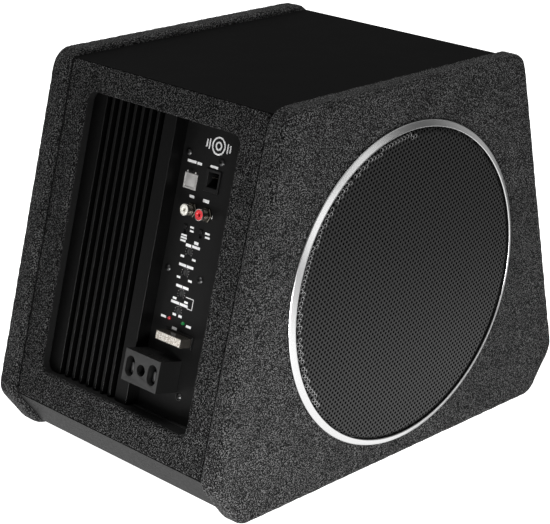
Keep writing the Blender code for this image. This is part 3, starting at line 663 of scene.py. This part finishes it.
def make_sides():
    """The two carpeted sides: one whole, one with the amplifier's window."""
    body = board_corners(PROUD)
    length = (body[0] - body[1]).length
    rear, front = AMP.translation.y - BODY_HIGH.y, AMP.translation.y - BODY_LOW.y
    top_left = AMP_BACK @ Vector((-body[0].x, 0.0, body[0].y))
    top = top_left.y - CLEAR
    bottom = top_left.y - length + CLEAR
    sink_low, _ = local_box("amp_heatsink")
    _, panel_high = local_box("amp_control_panel")
    window_low = (sink_low.x - CLEAR, -panel_high.y - CLEAR)
    window_high = (panel_high.x + CLEAR, panel_high.y + CLEAR)

    def window_ring(grow, depth):
        low = (window_low[0] - grow, window_low[1] - grow)
        high = (window_high[0] + grow, window_high[1] + grow)
        return four_corner_ring(low, high, WINDOW_CORNER + grow, depth)

    outer = side_rings(top, bottom, rear, front)
    rings = list(outer)
    goal = window_ring(WINDOW_ROLL, 0.0)
    for share in (0.08, 0.22, 0.4, 0.6, 0.78, 0.92, 1.0):
        rings.append([a.lerp(b, share) for a, b in zip(outer[-1], goal)])
    for angle in sweep(pi / 2, 4)[1:]:
        rings.append(window_ring(WINDOW_ROLL * (1 - sin(angle)), -WINDOW_ROLL * (1 - cos(angle))))
    carpet_end = -0.0042
    rings += [window_ring(0.0, carpet_end), window_ring(0.0, -PANEL)]
    mesh = ring_body("amp_side_carpet", [[AMP @ point for point in ring] for ring in rings], wrap=True)
    ripple(mesh, *SIDE_RIPPLE, 5.7)
    side = piece(mesh, "side", replaced=("amp_side_panel",), sharp=50.0)
    side.data.materials.append(LOOKS["window_wall"])
    inside = AMP_BACK.to_3x3()
    for face in side.data.polygons:
        centre = AMP_BACK @ face.center
        along = window_low[0] - MM < centre.x < window_high[0] + MM
        flat_wall = abs((inside @ face.normal).z) < 0.3
        if along and abs(centre.y) < window_high[1] + MM and flat_wall and centre.z < carpet_end:
            face.material_index = 1
    paint_crease_shade(side, AMP_BACK, rear, front)
    plain = list(outer)
    for inset in (0.004, 0.009, 0.016, 0.026, 0.04, 0.056, 0.074, 0.092, 0.106):
        low, high = (rear + inset, bottom + inset), (front - inset, top - inset)
        plain.append(four_corner_ring(low, high, SIDE_CORNER, 0.0))
    plain = [[mirrored(AMP @ point) for point in ring] for ring in plain]
    mesh = ring_body("plain_side_carpet", plain, wrap=False)
    ripple(mesh, *SIDE_RIPPLE, 8.3)
    plain_side = piece(mesh, "side", replaced=("plain_side_panel",), sharp=50.0)
    paint_crease_shade(plain_side, AMP_BACK @ Matrix.Scale(-1.0, 4, (1.0, 0.0, 0.0)), rear, front)
    return side, plain_side


def paint_crease_shade(side, to_recess, rear, front):
    """Painted shade in the corners between a side and the two end boards: a darker carpet tone on the faces
    near each board.
    """
    side.data.materials.append(LOOKS["painted_crease_shade"])
    index = len(side.data.materials) - 1
    for face in side.data.polygons:
        centre = to_recess @ face.center
        if min(centre.x - rear, front - centre.x) < CREASE_SHADE_WIDTH and centre.z > -CREASE_SHADE_WIDTH:
            face.material_index = index


def make_fibres(name, carpets, count, seed, facing=-0.3, stand=1.0):
    """Loose fibres lying on the shown faces of carpets, given with the way each one faces."""
    pick = random.Random(seed)
    faces = []
    for carpet, outward in carpets:
        points = [vertex.co for vertex in carpet.data.vertices]
        for face in carpet.data.polygons:
            if face.normal.dot(outward) > facing and face.normal.z > -0.6 and face.material_index == 0:
                faces.append(([points[index] for index in face.vertices[:4]], face.normal.copy(), face.area))
    shape = bmesh.new()
    for corners, normal, _ in pick.choices(faces, [area for _, _, area in faces], k=count):
        one_side = corners[0].lerp(corners[1], pick.random())
        root = one_side.lerp(corners[2].lerp(corners[-1], pick.random()), pick.random())
        along = normal.orthogonal()
        along.rotate(Quaternion(normal, pick.uniform(0.0, tau)))
        along.normalize()
        side = normal.cross(along).normalized() * FIBRE_HALF_WIDTH
        length = pick.uniform(*FIBRE_LENGTH)
        bow = root + along * (0.5 * length) + normal * (stand * pick.uniform(*FIBRE_BOW))
        bow += side * pick.uniform(-3, 3)
        tip = root + along * length + normal * (stand * pick.uniform(*FIBRE_TIP))
        sunk = root - normal * FIBRE_ROOT
        quad = [shape.verts.new(point) for point in (sunk - side, sunk + side, bow + side, bow - side)]
        shape.faces.new(quad)
        shape.faces.new((quad[3], quad[2], shape.verts.new(tip)))
    mesh = bpy.data.meshes.new(name)
    shape.to_mesh(mesh)
    shape.free()
    piece(mesh, "fibre", sharp=180.0)


def make_box():
    front = carpet_board("front_board_carpet", BOARD_HIGH.y, BOARD_LOW.y, DRIVER_HOLE, "front_baffle")
    rear = carpet_board("rear_board_carpet", REAR_LOW.y, REAR_HIGH.y, None, "rear_panel")
    amp_side, plain_side = make_sides()
    outward = AMP.col[2].to_3d()
    up, ahead = Vector((0.0, 0.0, 1.0)), Vector((0.0, -1.0, 0.0))
    make_fibres("board_fibres", ((front, ahead), (rear, -ahead)), 15000, 11)
    make_fibres("edge_fibres", ((front, up), (rear, up)), 3000, 13, facing=0.45, stand=1.8)
    make_fibres("side_fibres", ((amp_side, outward), (plain_side, mirrored(outward))), 9000, 12)
    softened("top_laminate", "top_panel", 0.0009, "laminate", segments=3)
    for node in ("left_chamfer_panel", "right_chamfer_panel", "bottom_panel"):
        softened(node.replace("panel", "wrap"), node, 0.0009, "vinyl", segments=3)


# Grille and driver: heights are in front of the front board

RING_RISE = FRONT - RING_LOW.y
RING_RADIUS = (RING_HIGH.x - RING_LOW.x) / 2
RING_SHADED_WALL = 0.1321
MESH_RIM = 0.1317
MESH_BEND = 0.1272
MESH_SEAT = 0.0009
MESH_SHOULDER = 0.0013
MESH_CROWN = 0.0009
MESH_SHEET = 0.001
HOLE_PITCH = 0.003776
HOLE_RADIUS = 0.0013
ROW_TURN = 10.0
DRIVER_HOLE = 0.1318

# The basket's flange: its back, its thickness, and the circle of its screws
FLANGE_BACK = -0.019
FLANGE = 0.0025
SCREW_CIRCLE = 0.1258

# Holes whose bevelled edges carry a painted glint: between which angles, and how wide and deep in sheets the
# bevel is
GLINT_FROM = 88.0
GLINT_TO = 216.0
LIP = 0.0005
LIP_DROP = 0.22


def make_ring():
    hole, outside, inside, spigot = 0.132, 0.1316, 0.1297, 0.008
    profile = [
        (hole, 0.0008), (hole, RING_RISE - 0.0007), (0.1325, RING_RISE), (0.1332, RING_RISE - 0.0002),
        (RING_RADIUS - 0.0005, 0.002), (RING_RADIUS, 0.0015), (RING_RADIUS, CLEAR), (outside, CLEAR),
        (outside, -spigot), (inside, -spigot), (inside, 0.0007), (0.1318, 0.0007),
    ]
    mesh = lathe("grille_bevel_ring", list(reversed(profile)), DRIVER, 256, soften=0.0003)
    ring = piece(mesh, "ring", replaced=("grille_ring",), sharp=35.0)
    # The inner wall takes dark screw metal: painted shade where the sheet sits down in the ring
    ring.data.materials.append(LOOKS["black_screw"])
    for face in ring.data.polygons:
        if Vector((face.center.x, face.center.z - DRIVER_Z)).length < RING_SHADED_WALL:
            face.material_index = 1


def dome(radius):
    """Height of the sheet's back: a steep edge up to a bend, and a shallow crown inside it."""
    if radius > MESH_BEND:
        return MESH_SEAT + MESH_SHOULDER * (MESH_RIM - radius) / (MESH_RIM - MESH_BEND)
    return MESH_SEAT + MESH_SHOULDER + MESH_CROWN * (1 - (radius / MESH_BEND) ** 2)


def glinting_hole(spot):
    """Whether a hole's edge carries a painted glint, as those at the bend do from the top to the lower left.
    """
    around = degrees(atan2(spot.y, spot.x)) % 360.0
    return abs(spot.length - MESH_BEND) < 0.45 * HOLE_PITCH and GLINT_FROM < around < GLINT_TO


def make_mesh():
    """Perforated steel: a six sided cell for each hole, all joined into one sheet that ends at the ring."""
    row_step = HOLE_PITCH * sqrt(3) / 2
    rows = int(MESH_RIM / row_step) + 1
    columns = int(MESH_RIM / HOLE_PITCH) + 1
    reach = HOLE_PITCH / sqrt(3)
    turn = Matrix.Rotation(radians(ROW_TURN), 2)
    cell_ways = [heading(pi / 2 - a) for a in sweep(tau, 6)[:-1]]
    hole_ways = [heading(pi / 3 - a) for a in sweep(tau, 6)[:-1]]
    pairs = [(step, (step + 1) % 6) for step in range(6)]
    shape = bmesh.new()
    shared = {}

    def lifted(spot, level):
        spot = turn @ spot
        if spot.length > MESH_RIM:
            spot *= MESH_RIM / spot.length
        height = dome(spot.length) + level * MESH_SHEET
        return shape.verts.new(DRIVER @ Vector((spot.x, spot.y, height)))

    def corner(spot, level):
        key = (round(2 * spot.x / HOLE_PITCH), round(2 * spot.y / reach), level)
        if key not in shared:
            shared[key] = lifted(spot, level)
        return shared[key]

    def hole(centre, radius, level):
        return [lifted(centre + way * radius, level) for way in hole_ways]

    for row in range(-rows, rows + 1):
        shift = 0.5 * HOLE_PITCH if row % 2 else 0.0
        for column in range(-columns - 1, columns + 1):
            centre = Vector((column * HOLE_PITCH + shift, row * row_step))
            if centre.length > MESH_RIM - 0.2 * reach:
                continue
            rims = []
            for level in (1, 0):
                outer = [corner(centre + way * reach, level) for way in cell_ways]
                # The bevel round these holes takes bright metal: a painted glint
                if level and glinting_hole(turn @ centre):
                    edge = hole(centre, HOLE_RADIUS + LIP, level)
                    rim = hole(centre, HOLE_RADIUS, level - LIP_DROP)
                    for index, beside in pairs:
                        glint_face = shape.faces.new((edge[index], edge[beside], rim[beside], rim[index]))
                        glint_face.material_index = 1
                else:
                    edge = rim = hole(centre, HOLE_RADIUS, level)
                rims.append(rim)
                for index, beside in pairs:
                    shape.faces.new((outer[index], outer[beside], edge[index]))
                    shape.faces.new((outer[beside], edge[beside], edge[index]))
            for index, beside in pairs:
                shape.faces.new((rims[0][index], rims[0][beside], rims[1][beside], rims[1][index]))
    top_of = {vertex: shared[(key[0], key[1], 0)] for key, vertex in shared.items() if key[2] == 1}
    for edge in [edge for edge in shape.edges if edge.is_boundary]:
        first, second = edge.verts
        if first in top_of and second in top_of:
            shape.faces.new((first, second, top_of[second], top_of[first]))
    bmesh.ops.dissolve_degenerate(shape, dist=1e-6, edges=shape.edges)
    sheet = piece(mesh_of("grille_sheet", shape), "mesh", replaced=("grille_mesh",), sharp=30.0)
    sheet.data.materials.append(LOOKS["painted_glint_edge"])


def make_driver():
    """The parts of the driver that show through the grille."""
    seat = FLANGE_BACK + FLANGE + CLEAR
    middle, roll, skin, inner, outer = 0.105, 0.008, 0.0009, 0.093, 0.1212
    thin = roll - skin
    angles = sweep(pi, 14)
    over = [(middle - roll * cos(a), seat + skin + roll * sin(a)) for a in angles]
    under = [(middle + thin * cos(a), seat + thin * sin(a)) for a in angles]
    surround = [(inner, seat + skin), *over, (outer, seat + skin), (outer, seat), *under, (inner, seat)]
    piece(lathe("rubber_surround", surround, DRIVER, 128), "rubber", replaced=("woofer_surround",))
    gasket = [(0.1215, seat + 0.0025), (0.13, seat + 0.0025), (0.13, seat), (0.1215, seat)]
    mesh = lathe("rubber_gasket", gasket, DRIVER, 128, soften=0.0006)
    piece(mesh, "rubber", replaced=("woofer_gasket",))
    coil, edge, coil_depth, rise, sag = 0.027, 0.0922, -0.0574, 0.0392, 0.00064
    lower = [(coil + (edge - coil) * share, coil_depth + rise * share - sag * sin(pi * share))
             for share in sweep(1.0, 10)]
    cone = [(inner, -0.0169), (0.097, -0.0169), (0.097, -0.0178), *reversed(lower),
            (0.026, coil_depth), (0.026, -0.056)]
    cone += [(radius - 0.0004, height + 0.0012) for radius, height in lower[1:]]
    piece(lathe("pulp_cone", cone, DRIVER, 128), "paper", "cone_assembly", ("woofer_cone",))
    rim, foot, rise, wall = 0.04, -0.047, 0.012, 0.0008
    arc = sweep(pi / 2, 12)
    dome_line = [(rim * sin(a), foot + rise * cos(a)) for a in arc]
    dome_line += [((rim - wall) * sin(a), foot + (rise - wall) * cos(a)) for a in reversed(arc)]
    mesh = lathe("dust_dome", dome_line, DRIVER, 96, ring=False)
    piece(mesh, "paper", "cone_assembly", ("woofer_dust_cap",))
    head = [(0.0, seat + 0.0058), (0.0018, seat + 0.0056), (0.0034, seat + 0.0045), (0.0036, seat + 0.0028),
            (0.0, seat + 0.0028)]
    spots = [heading(tau * (index + 0.5) / 8) * SCREW_CIRCLE for index in range(8)]
    heads = [lathe("head", head, DRIVER, 20, ring=False, at=spot) for spot in spots]
    piece(joined("woofer_screw_heads", heads), "black_screw")


# Amplifier

KNOBS = ("level", "low_pass", "bass_boost", "subsonic")
WIRE_ENTRY_HEIGHT = -0.0834


def amp_block(low, high, bevel, segments=2):
    """A rounded box in the recess's frame, to be joined with others."""
    return block("block", low, high, AMP, bevel, segments)


def post(u, v, half_u, half_v, bottom, top, bevel, segments=2):
    """A rounded box about a spot of the recess's frame."""
    return amp_block((u - half_u, v - half_v, bottom), (u + half_u, v + half_v, top), bevel, segments)


def make_panel_screw(name):
    """A pan head with a cross recess."""
    low, high = local_box(name)
    centre = (low + high) / 2
    radius = (high.x - low.x) / 2
    base = high.z - 0.0017
    head = [
        (0.0, high.z), (0.0011, high.z - 0.00005), (0.002, high.z - 0.0004),
        (radius - 0.0003, high.z - 0.0011), (radius, high.z - 0.00145), (radius - 0.0001, base),
        (0.0015, base), (0.0015, low.z), (0.0, low.z),
    ]
    mesh = lathe(name + "_head", head, AMP, 32, ring=False, at=centre)
    obj = piece(mesh, "black_screw", replaced=(name,))
    turn = 0.35 + 1.7 * centre.y / 0.1 + centre.x * 40
    place = AMP @ Matrix.Translation((centre.x, centre.y, high.z)) @ Matrix.Rotation(turn, 4, "Z")
    for index in range(2):
        spin = place @ Matrix.Rotation(pi / 2 * index, 4, "Z")
        cut(obj, block("slot", (-0.0015, -0.00035, -0.0011), (0.0015, 0.00035, 0.001), spin, 0.00008, 1))


def make_washer(name):
    """A dark washer showing round a screw's head."""
    low, high = PANEL_FACE + 0.0001, PANEL_FACE + 0.0006
    washer = [(0.0026, low), (0.0026, high), (0.0034, PANEL_FACE + 0.0005), (0.0036, low)]
    mesh = lathe(name + "_washer", washer, AMP, 32, at=middle_of(name))
    piece(mesh, "black_screw")


def cut(obj, tool_mesh):
    """Cuts a mesh from a piece for good."""
    tool = linked("tool", tool_mesh)
    modifier = obj.modifiers.new("cut", "BOOLEAN")
    modifier.operation = "DIFFERENCE"
    modifier.solver = "EXACT"
    modifier.object = tool
    bpy.context.view_layer.update()
    graph = bpy.context.evaluated_depsgraph_get()
    result = bpy.data.meshes.new_from_object(obj.evaluated_get(graph))
    obj.modifiers.remove(modifier)
    old = obj.data
    name = old.name
    obj.data = result
    bpy.data.meshes.remove(old)
    result.name = name
    bpy.data.objects.remove(tool)
    bpy.data.meshes.remove(tool_mesh)


def make_rca(side):
    """A phono socket: threaded nickel barrel on a hexagonal nut, with its coloured insulator; below its
    nickel rim the barrel and nut carry painted shade as dark metal.
    """
    low, high = local_box(f"rca_{side}_shell")
    centre = (low + high) / 2
    level, tip = PANEL_FACE, high.z
    rim = [(0.0043, tip - 0.0014), (0.0043, tip - 0.0001), (0.0045, tip), (0.0047, tip - 0.0001),
           (0.00485, tip - 0.0004), (0.00485, tip - 0.0014)]
    piece(lathe(f"rca_{side}_rim", rim, AMP, 40, at=centre), "nickel", sharp=30.0)
    barrel = [(0.0043, tip - 0.0015), (0.0047, tip - 0.0015)]
    for step in range(1, 7):
        height = tip - 0.001 - 0.0008 * step
        barrel += [(0.0048, height), (0.00455, height - 0.0004)]
    barrel += [(0.0048, level + 0.0024), (0.0048, low.z), (0.0043, low.z)]
    thread = lathe("thread", barrel, AMP, 40, at=centre)
    nut = [(0.0048, level + 0.002), (0.0058, level + 0.002), (0.0062, level + 0.0016),
           (0.0062, level + CLEAR), (0.0048, level + CLEAR)]
    mesh = joined(f"rca_{side}_barrel", [thread, lathe("nut", nut, AMP, 6, at=centre)])
    # Dark metal on the barrel and nut: painted shade for the dark reflections of the nickel
    piece(mesh, "dark_metal_and_painted_shade", replaced=(f"rca_{side}_shell",), sharp=30.0)
    core = [
        (0.0, tip - 0.0075), (0.0016, tip - 0.0075), (0.0016, tip - 0.0004), (0.002, tip + 0.0001),
        (0.0037, tip + 0.0001), (0.0042, tip - 0.0003), (0.0042, low.z), (0.0, low.z),
    ]
    mesh = lathe(f"rca_{side}_core", core, AMP, 40, ring=False, at=centre)
    colour, slot = ("ivory", "white_plastic") if side == "left" else ("red", "red_plastic")
    piece(mesh, colour, replaced=(f"rca_{side}_insulator",), sharp=30.0)


def make_lamp(name, look):
    low, high = local_box(name)
    radius = (high.x - low.x) / 2
    profile = [(radius * sin(a), high.z - radius * (1 - cos(a))) for a in sweep(pi / 2, 6)]
    profile += [(radius, low.z), (0.0, low.z)]
    mesh = lathe(name + "_lens", profile, AMP, 32, ring=False, at=(low + high) / 2)
    piece(mesh, look, replaced=(name,))


def make_pins():
    """Contacts and inner faces of the high level and remote sockets."""
    low, high = local_box("high_level_socket")
    middle = (low + high) / 2
    level, face = PANEL_FACE, high.z
    pins = []
    for u in (middle.x - 0.0028, middle.x + 0.0028):
        for v in (middle.y - 0.0022, middle.y + 0.0022):
            pins.append(post(u, v, 0.0005, 0.0005, face - 0.0102, face - 0.0022, 0.0001, 1))
    piece(joined("high_level_pins", pins), "gold")
    insert = [amp_block((low.x + 0.0011, low.y + 0.0011, face - 0.0022),
                        (high.x - 0.0011, high.y - 0.0011, face - 0.0006), 0.0003)]
    for u in (middle.x - 0.0046, middle.x + 0.0046):
        insert.append(post(u, high.y + 0.0011, 0.0006, 0.0007, level, level + 0.001, 0.0003))
    piece(joined("high_level_insert", insert), "white")
    latch = []
    for half, start, end, rise in ((0.0028, CLEAR, 0.0036, 0.0006), (0.0012, 0.0006, 0.0026, 0.0016)):
        latch.append(amp_block((middle.x - half, high.y + start, level),
                               (middle.x + half, high.y + end, level + rise), 0.0003))
    piece(joined("high_level_latch", latch), "black")
    middle = middle_of("remote_socket")
    face = local_box("remote_socket")[1].z
    contacts = []
    for index in range(6):
        u = middle.x + 0.0005 + (index - 2.5) * 0.0014
        contacts.append(post(u, middle.y + 0.0027, 0.00025, 0.0003, face - 0.012, face - 0.003, 0.00008, 1))
    piece(joined("remote_contacts", contacts), "dark_metal_and_painted_shade")


def make_wire_clamps():
    """Metal cages deep in the power terminal's entries."""
    face = local_box("power_terminal_block")[1].z
    v = WIRE_ENTRY_HEIGHT
    cages = []
    for index in range(3):
        u = middle_of(f"terminal_screw_{index + 1}").x
        half = 0.0036 if index == 1 else 0.004
        cages.append(post(u, v, half, half, face - 0.0148, face - 0.013, 0.0005))
        if index != 1:
            for jaw in (v - 0.0052, v, v + 0.0052):
                cages.append(post(u + 0.0035, jaw, 0.0007, 0.0019, face - 0.012, face - 0.003, 0.0003))
            cages.append(post(u - 0.00205, v - 0.0022, 0.00125, 0.0042, face - 0.011, face - 0.0052, 0.0004))
    piece(joined("wire_clamps", cages), "steel")


def make_marks():
    """Plain printed bars and ticks beside the controls, and one plain ring mark."""
    under, over = PANEL_FACE - 0.00003, PANEL_FACE + 0.00006

    def bar(u0, u1, v0, v1):
        return amp_block((u0 * MM, v0 * MM, under), (u1 * MM, v1 * MM, over), 0.00002, 1)

    bars = [
        (15.0, 25.0, 84.6, 86.8), (26.2, 31.4, 84.6, 86.8), (41.0, 49.6, 85.6, 87.6),
        (24.2, 29.6, 57.6, 59.8), (39.6, 46.6, 57.4, 60.0), (51.6, 53.0, 46.6, 49.6),
        (31.0, 35.2, 34.2, 35.8), (31.6, 35.8, 31.2, 32.8), (48.6, 53.8, 33.4, 35.0),
        (49.2, 54.4, 30.4, 32.0), (22.8, 29.0, 21.8, 23.4), (22.8, 29.6, 24.2, 25.8),
        (22.8, 29.2, 26.4, 27.8), (30.0, 36.0, 19.2, 21.6), (38.6, 43.4, 22.8, 25.2),
        (37.2, 46.0, 19.6, 21.8),
    ]
    knobs = {name: middle_of(f"{name}_knob") for name in KNOBS}
    for name, width, drop in (("level", 16.0, 11.9), ("low_pass", 14.0, 11.9), ("bass_boost", 19.0, 8.2)):
        u, v = knobs[name].x / MM, knobs[name].y / MM
        low, high = v - drop - 1.1, v - drop + 1.1
        bars += [(u - 8.6, u - 4.4, v - 6.0, v - 4.2), (u + 4.8, u + 9.0, v - 6.2, v - 4.4)]
        bars += [(u - width / 2 - 0.4, u - 0.3, low, high), (u + 0.3, u + width / 2, low, high)]
    bars += [
        (16.6, 22.6, -42.4, -40.4), (46.4, 52.0, -43.2, -41.2), (29.2, 33.2, -37.8, -35.8),
        (36.0, 40.0, -37.8, -35.8), (31.4, 37.0, -48.8, -46.6), (40.4, 49.6, -20.4, -19.8),
        (49.0, 49.6, -28.4, -20.4), (43.6, 49.6, -28.9, -28.3),
    ]
    meshes = [bar(*edges) for edges in bars]
    for centre in knobs.values():
        for index in range(9):
            angle = radians(-130 + 260 * index / 8)
            place = AMP @ Matrix.Translation((centre.x, centre.y, 0.0)) @ Matrix.Rotation(-angle, 4, "Z")
            low, high = (-0.00012, 0.0036, under), (0.00012, 0.0043, over)
            meshes.append(block("tick", low, high, place, 0.00002, 1))
    for inner, outer in ((6.0, 7.4), (2.2, 3.6)):
        rim = [(inner * MM, over), (outer * MM, over), (outer * MM, under), (inner * MM, under)]
        meshes.append(lathe("mark", rim, AMP, 48, at=(0.046, 0.1035)))
    for side in (-1, 1):
        for reach in (10.0, 13.0):
            place = 46.0 + side * reach
            half = 39.6 / reach
            meshes.append(bar(place - 0.7, place + 0.7, 103.5 - half, 103.5 + half))
    piece(joined("panel_marks", meshes), "print")


def make_amplifier():
    softened("heatsink_extrusion", "amp_heatsink", 0.00045, "sink")
    softened("painted_backboard", "amp_backboard", 0.0004, "window_wall", segments=1)
    softened("control_plate", "amp_control_panel", 0.00025, "panel", segments=1)
    for name in [node for node in frame["nodes"] if node.startswith("panel_screw")]:
        make_panel_screw(name)
    make_washer("panel_screw_bottom_front")
    softened("high_level_housing", "high_level_socket", 0.0003, "white")
    softened("remote_housing", "remote_socket", 0.0003, "black")
    make_pins()
    for side in ("left", "right"):
        make_rca(side)
    for name in ("phase", "auto_on"):
        softened(f"{name}_slider", f"{name}_switch_knob", 0.00025, "black", f"{name}_switch")
    for name in KNOBS:
        softened(f"{name}_dial", f"{name}_knob", 0.0002, "grey", f"{name}_control")
    make_lamp("protect_lamp", "red_lens")
    make_lamp("power_lamp", "green_lens")
    softened("fuse_socket", "fuse_holder", 0.0003, "black")
    softened("fuse_shell", "fuse", 0.0004, "smoky", "fuse_body")
    low, high = local_box("fuse")
    face = block("fuse_face", (low.x + CLEAR, low.y + CLEAR, high.z - 0.0016),
                 (high.x - CLEAR, high.y - CLEAR, high.z + 0.0001), AMP, 0.0006, 3)
    piece(face, "fuse", "fuse_body")
    housing = softened("terminal_housing", "power_terminal_block", 0.0004, "black")
    # The housing's outward face takes grey plastic while the rest stays black: painted light on the face
    # turned to the lamps
    housing.data.materials.append(LOOKS["grey"])
    outward = AMP.col[2].to_3d()
    for face in housing.data.polygons:
        if face.normal.dot(outward) > 0.99:
            face.material_index = 1
    make_wire_clamps()
    for index, body in enumerate(("terminal_screw_a", "terminal_screw_b", "terminal_screw_c")):
        softened(f"clamp_screw_{index + 1}", f"terminal_screw_{index + 1}", 0.0002, "nickel", body)
    make_marks()


def dress_hidden_nodes():
    """Procedural materials for the CAD nodes that stay as they are, inside the box."""
    looks = {
        "bare_board": ("woofer_mounting_board",), "wadding": ("damping_wadding",),
        "mesh": ("woofer_basket",), "spider": ("woofer_spider",),
        "copper": ("woofer_voice_coil", "amp_transformer"),
        "steel": ("woofer_top_plate", "woofer_yoke", "amp_tray", "phase_switch_body", "auto_on_switch_body"),
        "ferrite": ("woofer_magnet",), "grey": ("woofer_terminals",), "black": ("amp_capacitor",),
        "rubber": ("speaker_lead_positive", "speaker_lead_negative"), "circuit": ("amp_circuit_board",),
    }
    for look, nodes in looks.items():
        for node in nodes:
            materials = frame["nodes"][node].data.materials
            materials.clear()
            materials.append(LOOKS[look])


# Stage

def make_stage():
    shape = bmesh.new()
    bmesh.ops.create_grid(shape, x_segments=1, y_segments=1, size=12.0)
    floor = linked("studio_floor", mesh_of("studio_floor", shape))
    made, tree, shader = material("studio_floor", 0.25, 0.9, Specular_IOR_Level=0.0,
                                  Emission_Strength=FLOOR_GLOW)
    coloured(shader, speckle(tree, 3.0, 2.0), (0.3, 0.24), (0.7, 0.26))
    place = add_node(tree, "SeparateXYZ", Vector=object_space(tree))
    shares = []
    for yaw, sign in ((CAMERA_YAW - FLOOR_VIEW, 1.0), (CAMERA_YAW + FLOOR_VIEW, -1.0)):
        across = (sign * sin(radians(yaw)), -sign * cos(radians(yaw)))
        offset = -(across[0] * CAMERA_PLACE[0] + across[1] * CAMERA_PLACE[1])
        reach = weighted_sum(tree, place.outputs["X"], across[0], place.outputs["Y"], across[1])
        shares.append(math_node(tree, "ADD", reach, offset))
    glow = ramp(tree, math_node(tree, "MAXIMUM", *shares), (0.0, 1.0), (FLOOR_FADE, FLOOR_EDGE_GLOW))
    feed(tree, shader.inputs["Emission Color"], glow)
    floor.data.materials.append(made)
    world = bpy.data.worlds.new("studio")
    bpy.context.scene.world = world
    world.use_nodes = True
    tree = world.node_tree
    direction = add_node(tree, "TexCoord").outputs["Generated"]
    height = add_node(tree, "SeparateXYZ", Vector=direction).outputs["Z"]
    sky = ramp(tree, height, (0.0, 0.09), (0.4, 0.07), (0.7, 0.42), (0.95, 0.95))
    feed(tree, tree.nodes["Background"].inputs["Color"], sky)
    feed(tree, tree.nodes["Background"].inputs["Strength"], 1.0)
    for name, place, target, size, power, spread in LAMPS:
        data = bpy.data.lights.new(name, "AREA")
        data.shape = "DISK"
        data.size = size
        data.energy = power
        data.spread = radians(spread)
        lamp = linked(name, data)
        lamp.location = place
        lamp.rotation_euler = (Vector(target) - Vector(place)).to_track_quat("-Z", "Y").to_euler()


def make_camera():
    data = bpy.data.cameras.new("camera")
    data.lens = CAMERA_LENS
    data.sensor_width = 36.0
    data.clip_end = 50.0
    camera = linked("camera", data)
    yaw = Matrix.Rotation(radians(CAMERA_YAW - 90.0), 4, "Z")
    pitch = Matrix.Rotation(radians(90.0 - CAMERA_PITCH), 4, "X")
    roll = Matrix.Rotation(radians(CAMERA_ROLL), 4, "Z")
    camera.matrix_world = Matrix.Translation(CAMERA_PLACE) @ yaw @ pitch @ roll
    bpy.context.scene.camera = camera
    bpy.context.scene.view_settings.view_transform = "Standard"


make_camera()
make_stage()
make_box()
make_ring()
make_mesh()
make_driver()
make_amplifier()
dress_hidden_nodes()
